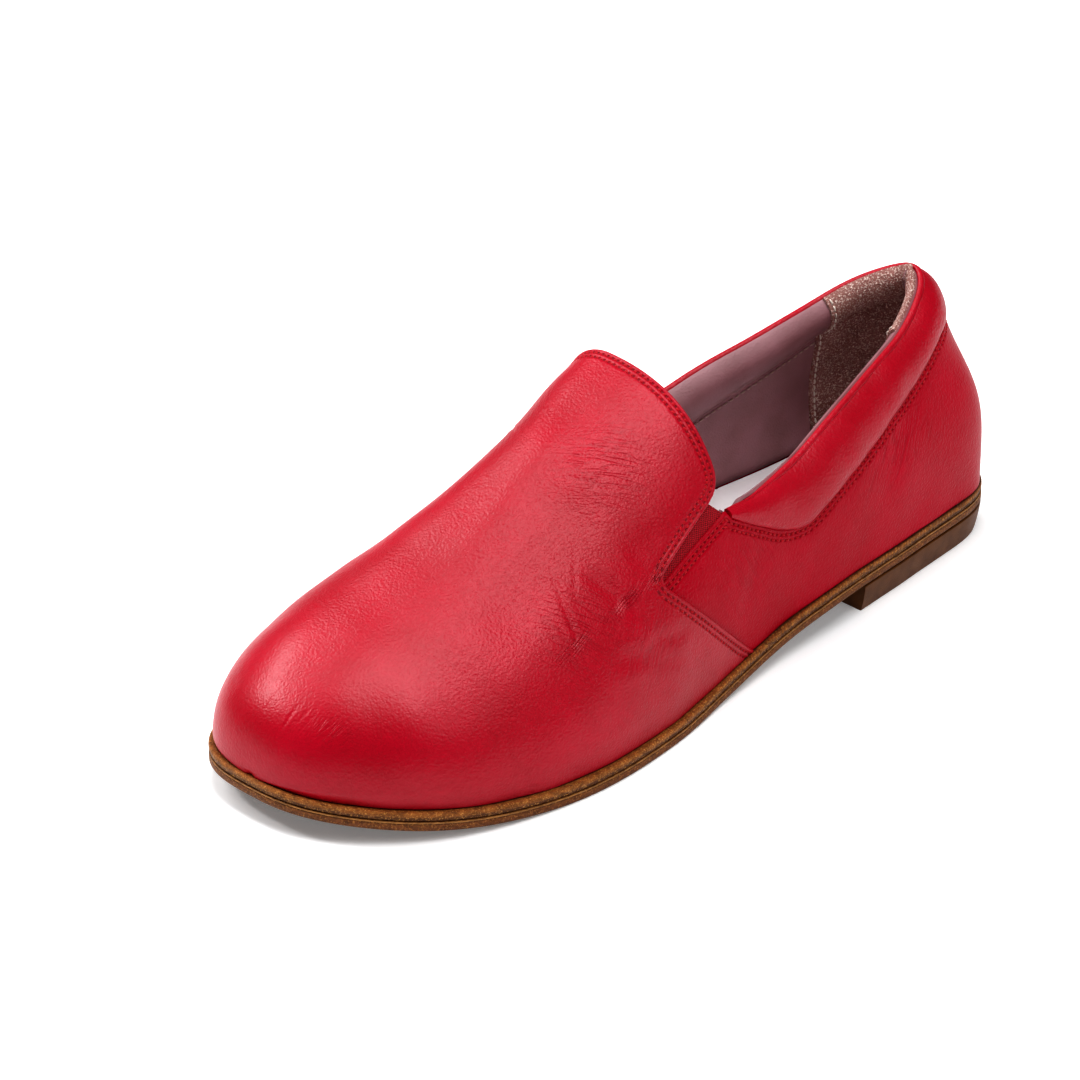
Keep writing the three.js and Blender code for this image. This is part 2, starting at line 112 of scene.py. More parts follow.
outline_rows = table("along centre ball heel", [
    (0.0, 0.006, 0.0, 1.0),
    (0.1, -0.009, 0.0, 0.915),
    (0.2, 0.013, 0.0, 0.963),
    (0.3, 0.025, 0.158, 0.8),
    (0.4, 0.027, 0.395, 0.5),
    (0.5, 0.041, 0.66, 0.2),
    (0.6, 0.063, 0.85, 0.05),
    (0.7, 0.049, 0.98, 0.0),
    (0.8, 0.022, 0.995, 0.0),
    (0.9, -0.004, 0.947, 0.0),
    (1.0, -0.046, 0.83, 0.0),
])
ledge_rows = table("along heel toe", [
    (0.0, 1.0, 0.0),
    (0.22, 1.0, 0.08),
    (0.5, 0.3, 0.75),
    (1.0, 0.0, 1.0),
])
ridge_rows = table("along instep toe inward", [
    (0.0, 1.124, 0.0, 0.0),
    (0.1, 1.1, 0.0, 0.0),
    (0.22, 1.067, 0.0, 0.0),
    (0.33, 1.045, 0.0, 0.05),
    (0.46, 1.0, 0.0, 0.095),
    (0.555, 0.8, 0.18, 0.068),
    (0.665, 0.45, 0.58, 0.053),
    (0.76, 0.16, 0.91, 0.058),
    (0.83, 0.04, 1.0, 0.06),
    (0.91, 0.0, 1.0, 0.056),
    (1.0, 0.0, 1.0, 0.046),
])
section_rows = table("along crown rise swell", [
    (0.0, 0.0, 0.5, 1.0),
    (0.1, 0.38, 0.52, 0.97),
    (0.22, 0.6, 0.56, 0.93),
    (0.46, 0.88, 0.67, 0.55),
    (0.6, 0.66, 0.58, 0.43),
    (0.74, 0.62, 0.56, 0.43),
    (0.89, 0.65, 0.6, 0.43),
    (1.0, 0.72, 0.62, 0.43),
])
outline_centre, outline_ball, outline_heel = curves(outline_rows)
ledge_heel, ledge_toe = curves(ledge_rows)
ridge_instep, ridge_toe, ridge_inward = curves(ridge_rows)
section_crown, section_rise, section_swell = curves(section_rows)


def smooth(value):
    """0 below 0, 1 above 1 and an S-shaped cubic between."""
    value = np.clip(value, 0, 1)
    return value * value * (3 - 2 * value)


def rounded_end(share, squareness):
    """A quarter of a superellipse: 1 where the share is 0, falling to 0 where it is 1."""
    return (1 - np.clip(share, 0, 1) ** squareness) ** (1 / squareness)


def outline_point(station, side):
    """The sole's outline in plan: x goes as 1 - cos of the station's half turn, and y is the centre
    line plus the half width, which is a table's value rounded off at the heel and the toe."""
    along = (1 - np.cos(np.pi * station)) / 2
    x = along * shoe_length
    full = (outline_ball(along) * ball_width + outline_heel(along) * heel_width) / 2
    back = rounded_end(1 - x / heel_round, heel_squareness)
    front = rounded_end((x - shoe_length + toe_round) / toe_round, toe_squareness)
    return x, outline_centre(along) * ball_width + side * full * back * front


def inset_point(station, side, inset):
    """The outline moved inwards by the inset, square to its own edge, and straight at its ends."""
    nudge = 1e-4
    station = np.asarray(station, float)
    x, y = outline_point(station, side)
    x0, y0 = outline_point(np.maximum(station - nudge, 0), side)
    x1, y1 = outline_point(np.minimum(station + nudge, 1), side)
    run = np.hypot(x1 - x0, y1 - y0)
    at_back, at_toe = station <= 0, station >= 1
    across = np.where(at_back, 1.0, np.where(at_toe, -1.0, side * (y1 - y0) / run))
    inward = np.where(at_back | at_toe, 0.0, -side * (x1 - x0) / run)
    return x + across * inset, y + inward * inset


def ledge(station):
    """How far the sole stands out from the upper, from its width at the heel to that at the toe."""
    along = (1 - np.cos(np.pi * station)) / 2
    return ledge_heel(along) * heel_ledge + ledge_toe(along) * toe_ledge


def sole_bottom(x):
    """Height of the sole's underside: level over the heel, an S down the arch, flat, then curling up."""
    arch = heel_height * (1 - smooth((x - heel_length) / (arch_end - heel_length)))
    return arch + toe_spring * np.clip((x - tread_end) / (shoe_length - tread_end), 0, 1) ** spring_curl


def sole_top(x):
    """Height of the top of the sole: its underside plus the layers."""
    return sole_bottom(x) + sole_thickness


def ridge_point(foot_x):
    """The top of the rib that starts at foot_x: it leans forward towards the back of the shoe, and
    the nose falls to the sole as a superellipse."""
    x = foot_x + heel_lean * np.maximum(1 - foot_x / (lean_end * shoe_length), 0) ** 2
    along = x / shoe_length
    height = ridge_instep(along) * instep_height + ridge_toe(along) * toe_height
    nose = rounded_end((x - shoe_length + toe_ledge + nose_length) / nose_length, nose_squareness)
    return x, -ridge_inward(along) * ball_width, sole_top(x) + (height - sole_top(x)) * nose


def last_point(station, side, level):
    """A rib of the last: a cubic Bezier curve from the sole's edge, where level is 0, up its flank
    and over its crown to the ridge, where level is 1."""
    foot_x, foot_y = inset_point(station, side, ledge(station))
    foot_z = sole_top(foot_x)
    top_x, top_y, top_z = ridge_point(foot_x)
    along = foot_x / shoe_length
    crown_y = top_y + side * section_crown(along) * np.abs(foot_y - top_y)
    rise_z = foot_z + section_rise(along) * (top_z - foot_z)
    u = 1 - level
    foot, flank, crown, top = u**3, 3 * u * u * level, 3 * u * level * level, level**3
    return np.stack(np.broadcast_arrays(
        foot_x * (foot + flank) + top_x * (crown + top),
        foot_y * (foot + flank) + crown_y * crown + top_y * top,
        foot_z * foot + rise_z * flank + top_z * (crown + top),
    ), -1)


def unit(vectors):
    """Vectors scaled to length 1."""
    return vectors / np.maximum(np.linalg.norm(vectors, axis=-1, keepdims=True), 1e-12)


def last_normal(station, side, level):
    """Outward normal of the last: the cross product of a step up the rib and a step along it."""
    nudge = 1e-3
    station, side, level = np.broadcast_arrays(station, side, level)
    before, after = np.maximum(station - nudge, 0), np.minimum(station + nudge, 1)
    below, above = np.maximum(level - nudge, 0), np.minimum(level + nudge, 1)
    along = last_point(after, side, level) - last_point(before, side, level)
    up = last_point(station, side, above) - last_point(station, side, below)
    normal = np.cross(up, along) * side[..., None]
    normal[..., 1] = np.where(station <= 0, 0.0, normal[..., 1])
    return np.where((station >= 1)[..., None], [1.0, 0.0, 0.0], unit(normal))


def skin(station, side, level, out=0.0):
    """A point of the leather, in metres in the shoe's frame: the last's point moved along its normal
    by a distance plus the counter's swell, whose height goes as sin squared. Level 0 is on the sole."""
    station, side, level, out = np.broadcast_arrays(station, side, level, out)
    side = np.where(station <= 0, 1.0, side)
    level = np.where(station >= 1, 0.0, level)
    point = last_point(station, side, level)
    height = np.clip((point[..., 2] - sole_top(point[..., 0])) / (2 * swell_height), 0, 1)
    swell = np.sin(np.pi * height) ** 2 * counter_swell * section_swell(point[..., 0] / shoe_length)
    moved = point + last_normal(station, side, level) * (out + swell)[..., None]
    moved[..., 2] = np.where(level <= 0, sole_top(moved[..., 0]) + clearance, moved[..., 2])
    moved[..., 0] += heel_back
    return moved


def halve(low, high, too_low, times=30):
    """The border between where too_low is true and where it isn't, found by halving the range."""
    low, high = np.array(low, float), np.array(high, float)
    for _ in range(times):
        middle = (low + high) / 2
        below = too_low(middle)
        low, high = np.where(below, middle, low), np.where(below, high, middle)
    return (low + high) / 2


def level_at(station, side, height):
    """The level at which a rib of the last reaches a height."""
    start = np.zeros(np.broadcast_shapes(np.shape(station), np.shape(height)))
    return halve(start, start + 1, lambda level: last_point(station, side, level)[..., 2] < height)


def station_at(x):
    """The station whose place on the outline is x from the back of the sole."""
    return np.arccos(1 - 2 * x / shoe_length) / np.pi


def foot_along(station, side=1):
    """How far from the back of the sole the upper's foot lies at a station."""
    return inset_point(station, side, ledge(station))[0]


# The upper's pattern
# The lines that the maker cuts the leather along, drawn on the side view of the last: the collar's
# topline and seam, the wedge for the elastic, and the vamp's edge from the flap down to the sole.
wall = 2.2 * mm
vamp_step = 1.2 * mm
flap_x = shoe_length - 139.5 * mm
flap_corner = 6 * mm
seam_run = 39.5 * mm
seam_hollow = 1.6 * mm
wedge_reach = 30 * mm
wedge_drop = 9.6 * mm
wedge_mouth = 6.8 * mm
wedge_point = 1.6 * mm
tip_turn = 2.5 * mm
line_above_flap = 60 * mm
back_height = 66 * mm
side_height = 47.3 * mm
collar_depth = 17.5 * mm
collar_thickness = 7.2 * mm
collar_proud = 2.6 * mm
collar_end_x = flap_x - 1.3 * mm
collar_tuck = 1.5 * mm
collar_end = station_at(collar_end_x - collar_tuck)
collar_rows = table("along back side depth thick", [
    (0.0, 1.0, 0.0, 0.64, 0.9),
    (0.06, 0.97, 0.0, 0.62, 0.9),
    (0.13, 0.935, 0.0, 0.61, 0.92),
    (0.26, 0.865, 0.0, 0.67, 0.95),
    (0.4, 0.76, 0.075, 0.79, 0.98),
    (0.54, 0.6, 0.215, 0.89, 1.0),
    (0.65, 0.43, 0.395, 0.96, 1.0),
    (0.75, 0.28, 0.555, 1.0, 0.97),
    (0.83, 0.15, 0.73, 0.8, 0.85),
    (0.9, 0.075, 0.845, 0.48, 0.68),
    (1.0, 0.0, 1.0, 0.08, 0.4),
])
collar_back, collar_side, collar_deep, collar_thick = curves(collar_rows)


def collar_share(station, side=1):
    """The way along the collar as a share, 0 at the back and 1 at its front end."""
    return np.clip(foot_along(station, side) / collar_end_x, 0, 1)


def topline(station):
    """Height of the collar's top: the sole's top plus shares of the back's and the side's height."""
    along = collar_share(station)
    over_sole = collar_back(along) * back_height + collar_side(along) * side_height
    return sole_top(foot_along(station)) + over_sole


def seam_height(station):
    """Height of the seam under the collar: the topline less the collar's depth."""
    return topline(station) - collar_deep(collar_share(station)) * collar_depth


rear_top = np.array([collar_end_x, float(topline(collar_end))])
front_top = np.array([flap_x, rear_top[1] + wedge_mouth])
tip = rear_top + (wedge_reach, -wedge_drop)
rear_foot = tip - wedge_point / 2
front_foot = tip + (0, wedge_point / 2)
front_run = (front_foot - front_top) / np.linalg.norm(front_foot - front_top)
corner_foot = front_top + flap_corner * front_run


def bend(start, corner, end, count=12):
    """Points on a quadratic Bezier curve from start to end, pulled towards the corner."""
    t = np.linspace(0, 1, count)[:, None]
    return (1 - t) ** 2 * np.array(start) + 2 * t * (1 - t) * np.array(corner) + t * t * np.array(end)


seam_foot = np.array([tip[0] - seam_run, float(sole_top(tip[0] - seam_run))])
seam_middle = (tip + seam_foot) / 2 + (seam_hollow, 0)
below_tip = tip + tip_turn * (seam_foot - tip) / seam_run
vamp_edge = np.concatenate([
    bend(seam_foot, seam_middle, below_tip),
    bend(below_tip, tip, front_foot - tip_turn * front_run, count=8)[1:],
    bend(corner_foot, front_top, front_top + (0, flap_corner)),
    [front_top + (0, line_above_flap)],
])


def vamp_edge_x(height):
    """How far forward the vamp's rear edge lies at a height: seam, wedge and flap, from low to high."""
    return np.interp(height, vamp_edge[:, 1], vamp_edge[:, 0])


# Surfaces
# Leather is cut from sheet, so each piece is a closed sheet: an outer grid of points, an inner
# grid under it, and a rim around both.
weld_distance = 1e-7


def grid_faces(rows, columns, start=0):
    """Quads between neighbouring rows and columns of a grid of numbered points."""
    corner = start + np.arange(rows * columns).reshape(rows, columns)
    quads = [corner[:-1, :-1], corner[1:, :-1], corner[1:, 1:], corner[:-1, 1:]]
    return np.stack(quads, -1).reshape(-1, 4)


def mesh_object(name, points, faces, sharp=50, **attributes):
    """A mesh with its place in its points. A closed surface whose signed volume is negative has its
    faces turned round, points that coincide are merged, and edges past the sharp angle are kept."""
    points, faces = np.asarray(points, float).reshape(-1, 3), np.asarray(faces)
    rounded = np.round(points / weld_distance).astype(np.int64)
    _, first, where = np.unique(rounded, axis=0, return_index=True, return_inverse=True)
    points, faces = points[first], where.reshape(-1)[faces]
    attributes = {key: np.asarray(value, float).reshape(-1)[first] for key, value in attributes.items()}
    a, b, c, d = (points[faces[:, k]] for k in range(4))
    volume = (np.cross(b - a, c - a) * a).sum() + (np.cross(c - a, d - a) * a).sum()
    if volume < 0:
        faces = faces[:, ::-1]
    repeated = faces == np.roll(faces, -1, 1)
    quads, triangles = faces[repeated.sum(1) == 0], faces[repeated.sum(1) == 1]
    triangles = triangles[~(triangles == np.roll(triangles, -1, 1))].reshape(-1, 3)
    mesh = bpy.data.meshes.new(name)
    mesh.from_pydata(points.tolist(), [], quads.tolist() + triangles.tolist())
    for key, value in attributes.items():
        mesh.attributes.new(key, "FLOAT", "POINT").data.foreach_set("value", value.astype(np.float32))
    mesh.shade_smooth()
    mesh.set_sharp_from_angle(angle=np.radians(sharp))
    made = bpy.data.objects.new(name, mesh)
    scene.collection.objects.link(made)
    return made


def grid_object(name, grid, **options):
    """A mesh whose points are one grid, closed in itself."""
    return mesh_object(name, grid, grid_faces(*grid.shape[:2]), **options)


def sheet_object(name, outer, inner, **attributes):
    """A closed sheet between two grids of points of one shape, with a rim all round."""
    rows, columns = outer.shape[:2]
    count = rows * columns
    top = np.arange(count).reshape(rows, columns)
    border = np.concatenate([top[0, :-1], top[:-1, -1], top[-1, :0:-1], top[:0:-1, 0]])
    after = np.roll(border, -1)
    rim = np.stack([border, after, after + count, border + count], -1)
    inner_faces = grid_faces(rows, columns, count)[:, ::-1]
    faces = np.concatenate([grid_faces(rows, columns), inner_faces, rim])
    both = {key: np.concatenate([np.ravel(value)] * 2) for key, value in attributes.items()}
    return mesh_object(name, np.concatenate([outer.reshape(-1, 3), inner.reshape(-1, 3)]), faces, **both)


def fit(piece, finish, slot, *nodes):
    """Gives a finished piece its material and its place on the shoe."""
    piece.data.materials.append(finish)
    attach(piece, "root")
    if nodes:
        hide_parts(*nodes)
    return piece


def distance_along(path):
    """How far along a path of points each of them is."""
    return np.concatenate([[0.0], np.cumsum(np.linalg.norm(np.diff(path, axis=0), axis=1))])


def along_path(points, path, block=4000):
    """Distance from each point to the nearest place on a path of straight pieces, and how far along
    the path that place is."""
    flat = points.reshape(-1, 3)
    start, run = path[:-1], np.diff(path, axis=0)
    length = np.maximum(np.linalg.norm(run, axis=1), weld_distance)
    walked = distance_along(path)
    distances, places = [], []
    for first in range(0, len(flat), block):
        to = flat[first:first + block, None] - start
        share = np.clip((to * run).sum(-1) / length**2, 0, 1)
        distance = np.sqrt(((to - share[..., None] * run) ** 2).sum(-1))
        nearest = distance.argmin(1)
        pick = np.arange(len(nearest))
        distances.append(distance[pick, nearest])
        places.append(walked[nearest] + share[pick, nearest] * length[nearest])
    shape = points.shape[:-1]
    return np.concatenate(distances).reshape(shape), np.concatenate(places).reshape(shape)


def hump(value, middle, width):
    """A bell-shaped hump of height 1."""
    return np.exp(-(((value - middle) / width) ** 2))


def side_stations(end, count):
    """Stations from an end station on the outer side round the heel to that on the inner side."""
    share = np.linspace(-1, 1, 2 * count + 1)
    return np.abs(share) * end, np.where(share < 0, 1.0, -1.0)


bead_width = 0.75 * mm
bead_height = 0.22 * mm
bead_spread = 0.7
row_places = (1.65 * mm, 3.25 * mm)
row_width = 0.42 * mm
row_depth = 0.26 * mm


def folded_edge(distance):
    """Relief of a folded edge: the leather turns down in a quarter circle at the fold, stands proud
    in a bead beside it and is drawn in along its two rows of stitches."""
    fold = np.clip(1 - distance / bead_width, 0, 1)
    turn = bead_width * (np.sqrt(1 - fold * fold) - 1)
    bead = bead_height * hump(distance, bead_width, bead_width * bead_spread)
    between = 0.4 * bead_height * hump(distance, sum(row_places) / 2, row_width)
    rows = sum(hump(distance, place, row_width) for place in row_places)
    return turn + bead + between - row_depth * rows


def soft_noise(points, size, seed, waves=9):
    """A smooth random field between about -1 and 1: a sum of sine waves of that size in directions
    drawn from the seed."""
    draw = np.random.default_rng(seed)
    direction = unit(draw.normal(size=(waves, 3)))
    stretch = draw.uniform(0.7, 1.6, waves)
    start = draw.uniform(0, 2 * np.pi, waves)
    return np.sin(points @ direction.T * (2 * np.pi / size * stretch) + start).sum(-1) / np.sqrt(waves)


# Finishes
# Node materials are wired as sums: a Wire is the output of a node, and arithmetic on it adds Math
# nodes. Patterns are in metres, on the shoe's own coordinates or on a piece's own attributes.
class Wire:
    """One output of a node."""

    def __init__(self, finish, socket):
        self.finish, self.socket = finish, socket

    def __add__(self, other):
        return self.finish.math("ADD", self, other)

    def __radd__(self, other):
        return self.finish.math("ADD", other, self)

    def __sub__(self, other):
        return self.finish.math("SUBTRACT", self, other)

    def __rsub__(self, other):
        return self.finish.math("SUBTRACT", other, self)

    def __mul__(self, other):
        return self.finish.math("MULTIPLY", self, other)

    def clamp(self, low, high):
        """0 at low and below, 1 at high and above."""
        return self.finish.node(
            "ShaderNodeMapRange", {"Value": self, "From Min": low, "From Max": high}, clamp=True)


class Finish:
    """A material while it is wired."""

    def __init__(self, name):
        self.material = bpy.data.materials.new(name)
        self.material.use_nodes = True
        self.tree = self.material.node_tree
        self.tree.nodes.clear()
        self.place = self.node("ShaderNodeTexCoord", output="Object")

    def math(self, operation, first, second=0.0):
        """A Math node on one or two values or wires."""
        return self.node("ShaderNodeMath", {0: first, 1: second}, operation=operation)

    def node(self, kind, inputs=None, output=0, stops=None, **settings):
        """Adds a node, with its settings set first, and gives one of its outputs, if it has any."""
        node = self.tree.nodes.new(kind)
        for name, value in settings.items():
            setattr(node, name, value)
        if stops:
            ramp = node.color_ramp
            while len(ramp.elements) < len(stops):
                ramp.elements.new(0.5)
            for element, (share, colour) in zip(ramp.elements, stops):
                element.position, element.color = share, paint(colour)
        for key, value in (inputs or {}).items():
            if isinstance(value, Wire):
                self.tree.links.new(value.socket, node.inputs[key])
            else:
                node.inputs[key].default_value = value
        return None if output is None else Wire(self, node.outputs[output])

    def noise(self, size, detail=3.0, roughness=0.55, at=None, stretch=None, distortion=0.0):
        """Cloudy noise from 0 to 1 whose patches are about size metres across."""
        at = at or self.place
        if stretch:
            at = self.node("ShaderNodeMapping", {"Vector": at, "Scale": stretch})
        return self.node("ShaderNodeTexNoise", {
            "Vector": at, "Scale": 1 / size, "Detail": detail, "Roughness": roughness,
            "Distortion": distortion})

    def cells(self, size, feature="F1"):
        """Distance from the middles of Voronoi cells about size metres across."""
        inputs = {"Vector": self.place, "Scale": 1 / size}
        return self.node("ShaderNodeTexVoronoi", inputs, output="Distance", feature=feature)

    def mix(self, share, first, second):
        """A colour between two colours."""
        inputs = {0: share, 6: paint(first), 7: paint(second)}
        return self.node("ShaderNodeMix", inputs, output=2, data_type="RGBA")

    def attribute(self, name):
        """A number that the piece carries at its points."""
        return self.node("ShaderNodeAttribute", output="Fac", attribute_name=name)

    def bump(self, height, depth, normal=None):
        """A Bump node whose height of 1 stands for a depth in metres."""
        inputs = {"Height": height, "Distance": depth, "Strength": 1.0}
        if normal:
            inputs["Normal"] = normal
        return self.node("ShaderNodeBump", inputs)

    def finish(self, colour, roughness, normal=None, **constants):
        """Ends the material in a Principled shader. The constants name its other sockets."""
        inputs = {"Base Color": paint(colour), "Roughness": roughness}
        inputs.update({key.replace("_", " "): value for key, value in constants.items()})
        if normal:
            inputs["Normal"] = normal
        shader = self.node("ShaderNodeBsdfPrincipled", inputs)
        self.node("ShaderNodeOutputMaterial", {"Surface": shader}, output=None)
        return self.material


def paint(colour):
    """An sRGB colour of 0 to 255 as the linear colour that a socket takes. A wire stays a wire."""
    if isinstance(colour, Wire):
        return colour
    share = np.array(colour) / 255
    linear = np.where(share <= 0.04045, share / 12.92, ((share + 0.055) / 1.055) ** 2.4)
    return (*linear.tolist(), 1.0)


stitch_pitch = 1.95 * mm
hole_gap = (0.15, 0.3)
hole_size = (0.2 * mm, 0.42 * mm)


def needle_holes(finish):
    """Where the rows of needle holes are, from 0 to 1: at the rows' distances from the folded edge,
    in the gaps between the stitches."""
    distance = finish.attribute("edge_distance")
    phase = finish.attribute("edge_along") * (1 / stitch_pitch)
    beat = finish.math("ABSOLUTE", finish.math("FRACT", phase) - 0.5)
    gap = 1 - beat.clamp(*hole_gap)
    return gap * sum(1 - finish.math("ABSOLUTE", distance - row).clamp(*hole_size) for row in row_places)


def wrinkle_lines(finish, across, along, turn, at):
    """Fine wrinkles: the lines along which a stretched noise passes its middle value."""
    turned = finish.node("ShaderNodeMapping", {"Vector": at, "Rotation": (0.0, 0.0, turn)})
    drawn = finish.noise(1.0, detail=1.0, at=turned, stretch=(1 / across, 1 / along, 1.0), distortion=0.2)
    return 1 - finish.math("ABSOLUTE", drawn - 0.5).clamp(0.0, 0.07)


def red_leather(name, shine):
    """Glazed calf leather dyed red: fine pebbled grain that is finer where the leather is tight on
    the last, wrinkles where it has been bent, painted darker along their lines as shade, needle
    holes painted dark as shade, and a soft shine that is duller in the pores."""
    finish = Finish(name)
    flat = finish.node("ShaderNodeCombineXYZ", {
        "X": finish.attribute("flat_x"), "Y": finish.attribute("flat_y")})
    tight = finish.attribute("tight")
    patches = finish.noise(26 * mm, detail=2.0)
    mottle = finish.noise(1.9 * mm, detail=4.0, roughness=0.65)
    pebble = finish.cells(0.7 * mm, feature="SMOOTH_F1")
    fine = finish.noise(0.5 * mm, detail=1.0)
    bent = wrinkle_lines(finish, 1.5 * mm, 12 * mm, -0.8, flat) * finish.attribute("bent")
    pulled = wrinkle_lines(finish, 12 * mm, 1.5 * mm, -0.6, flat) * finish.attribute("pulled")
    holes_and_shade = needle_holes(finish)
    worn = finish.mix(patches.clamp(0.35, 0.7), (168, 0, 34), (180, 1, 41))
    colour = finish.mix(mottle.clamp(0.4, 0.8) * 0.3, worn, (140, 0, 22))
    # Painted shade: the wrinkle lines are darkened as if in shade.
    colour = finish.mix((bent + pulled) * 0.3, colour, (116, 0, 18))
    # Painted shade: the needle holes are darkened as the shade in them.
    colour = finish.mix(holes_and_shade * 0.7, colour, (112, 0, 18))
    grain = (pebble + fine * 0.6) * (1 - tight * 0.5)
    normal = finish.bump(grain, 0.14 * mm)
    normal = finish.bump(1 - bent - pulled, 0.08 * mm, normal)
    normal = finish.bump(1 - holes_and_shade, 0.14 * mm, normal)
    roughness = 0.35 + mottle * 0.1 - tight * 0.04 + holes_and_shade * 0.3
    return finish.finish(colour, roughness, normal, Specular_IOR_Level=shine)


vamp_finish = red_leather("vamp leather", 0.38)
quarter_finish = red_leather("quarter leather", 0.12)


# The vamp
# One piece of red leather over the toes and the instep, lasted down to the sole. Its edge at the
# flap, along the elastic and down the side seam is folded and has two rows of stitches.
vamp_leather = 1.1 * mm
deepest = 0.85 * mm
vamp_columns = 112
vamp_rows = 215
even_rows = 0.3
row_growth = 1.9
step_at_sole = 0.4
step_rise = 0.1
crease_fade = 0.3
crease_clear = 2 * mm
crease_full = 5 * mm
pattern_height = 66 * mm


def vamp_grid(columns, rows, edge_shift=0.0):
    """Stations and levels of the vamp: each level line runs from the rear edge, where the side view
    crosses the vamp's edge, to the toe, in steps that grow away from the edge."""
    across = np.linspace(-1, 1, 2 * columns + 1)
    side = np.where(across < 0, -1.0, 1.0)
    level = 1 - np.abs(across)
    zero = np.zeros_like(level)

    def behind(station):
        point = last_point(station, side, level)
        return point[..., 0] < vamp_edge_x(point[..., 2]) + edge_shift

    rear = halve(zero, zero + 1, behind)
    step = np.linspace(0, 1, rows + 1)[:, None]
    station = rear + (1 - rear) * (even_rows * step + (1 - even_rows) * step**row_growth)
    return station, np.broadcast_to(side, station.shape), np.broadcast_to(level, station.shape)


# Creases of the worn leather. Each is a bend through three places, given as the
# share of the shoe's length and the way down from the ridge (0) to the sole (1 on the outer side,
# -1 on the inner side), with its width and depth in millimetres.
crease_rows = table("x0 d0 x1 d1 x2 d2 wide deep", [
    (0.682, 0.29, 0.712, 0.50, 0.706, 0.67, 1.6, 0.34),
    (0.652, 0.33, 0.670, 0.40, 0.688, 0.47, 1.1, 0.22),
    (0.664, 0.41, 0.650, 0.54, 0.618, 0.69, 4.6, 0.55),
    (0.632, 0.63, 0.618, 0.59, 0.598, 0.60, 2.8, 0.12),
    (0.606, 0.08, 0.588, 0.20, 0.538, 0.35, 1.3, 0.22),
    (0.584, 0.12, 0.566, 0.22, 0.548, 0.31, 1.2, 0.20),
    (0.620, 0.15, 0.606, 0.25, 0.575, 0.36, 1.4, 0.16),
    (0.628, 0.72, 0.600, 0.77, 0.560, 0.80, 4.5, 0.55),
    (0.690, 0.68, 0.640, 0.74, 0.568, 0.87, 5.0, 0.50),
    (0.735, 0.44, 0.728, 0.60, 0.712, 0.74, 1.2, 0.16),
    (0.722, 0.40, 0.730, 0.48, 0.728, 0.55, 1.0, 0.14),
    (0.720, 0.62, 0.704, 0.72, 0.690, 0.80, 1.1, 0.16),
    (0.960, 0.158, 0.972, 0.178, 0.985, 0.212, 0.9, 0.09),
    (0.957, 0.225, 0.964, 0.235, 0.972, 0.25, 0.8, 0.06),
    (0.962, 0.02, 0.970, 0.017, 0.979, 0.015, 0.9, 0.08),
    (0.950, 0.30, 0.958, 0.34, 0.966, 0.39, 0.8, 0.06),
    (0.955, 0.36, 0.962, 0.41, 0.970, 0.47, 0.9, 0.07),
    (0.946, 0.41, 0.955, 0.46, 0.964, 0.53, 0.9, 0.07),
    (0.938, 0.46, 0.946, 0.51, 0.954, 0.57, 0.9, 0.06),
    (0.600, -0.10, 0.590, -0.25, 0.560, -0.40, 1.4, 0.20),
    (0.690, -0.30, 0.705, -0.48, 0.700, -0.62, 1.3, 0.26),
    (0.660, -0.42, 0.648, -0.54, 0.620, -0.68, 3.2, 0.44),
])
# Broad hollows and swells that the foot has left, in the same columns. A negative depth swells.
form_rows = table("x0 d0 x1 d1 x2 d2 wide deep", [
    (0.585, 0.27, 0.690, 0.31, 0.800, 0.40, 14.0, 1.1),
    (0.540, 0.03, 0.640, 0.06, 0.780, 0.14, 12.0, -0.8),
    (0.560, 0.50, 0.590, 0.52, 0.620, 0.50, 9.0, 0.55),
    (0.700, 0.50, 0.760, 0.55, 0.820, 0.60, 12.0, -0.40),
    (0.600, -0.34, 0.690, -0.36, 0.780, -0.42, 12.0, 0.60),
])


def creases(surface, rows, lip=0.4):
    """Soft troughs along bends on the last, with a low ridge at each side, fading at their ends."""
    total = np.zeros(surface.shape[:-1])
    for row in rows:
        share, down = bend(*((row[f"x{k}"], row[f"d{k}"]) for k in range(3)), count=14).T
        path = skin(station_at(share * shoe_length), np.sign(down), 1 - np.abs(down), vamp_step)
        off, walked = along_path(surface, path)
        share = walked / distance_along(path)[-1]
        fade = smooth(share / crease_fade) * smooth((1 - share) / crease_fade)
        wide = row["wide"] * mm
        trough = hump(off, 0, wide / 2) - lip * hump(off, wide, wide / 2)
        total = total - row["deep"] * mm * fade * trough
    return total


def worn_relief(surface, crease_rows, form_rows, wave_height, wave_size, seed):
    """The creases and broad forms of a piece, on faint waves."""
    relief = creases(surface, crease_rows) + creases(surface, form_rows, lip=0.0)
    return relief + wave_height * soft_noise(surface, wave_size, seed)


def clear_of(edge_distance):
    """The share of a crease that shows beside a folded edge: none near it and all further in."""
    return smooth((edge_distance - crease_clear) / crease_full)


def leather_marks(station, side, level, edge_distance, edge_along):
    """What the leather's finish reads at each point: the flat pattern's coordinates, how tight the
    leather lies, and where it has been bent and pulled into fine wrinkles."""
    share = (1 - np.cos(np.pi * station)) / 2
    down = side * (1 - level)

    def patch(x, d, wide_x, wide_d):
        return np.exp(-(((share - x) / wide_x) ** 2) - ((np.abs(down) - d) / wide_d) ** 2)

    bent = patch(0.58, 0.24, 0.045, 0.16) + patch(0.70, 0.55, 0.05, 0.16)
    bent = bent + 0.7 * patch(0.45, 0.80, 0.05, 0.1)
    pulled = 0.6 * patch(0.955, 0.42, 0.02, 0.13) + 0.8 * patch(0.62, 0.75, 0.06, 0.12)
    pulled = pulled + patch(0.21, 0.74, 0.09, 0.11)
    return {
        "flat_x": share * shoe_length,
        "flat_y": np.abs(down) * pattern_height,
        "tight": smooth((share - 0.8) / 0.12),
        "bent": np.clip(bent, 0, 1),
        "pulled": np.clip(pulled, 0, 1),
        "edge_distance": edge_distance,
        "edge_along": edge_along,
    }


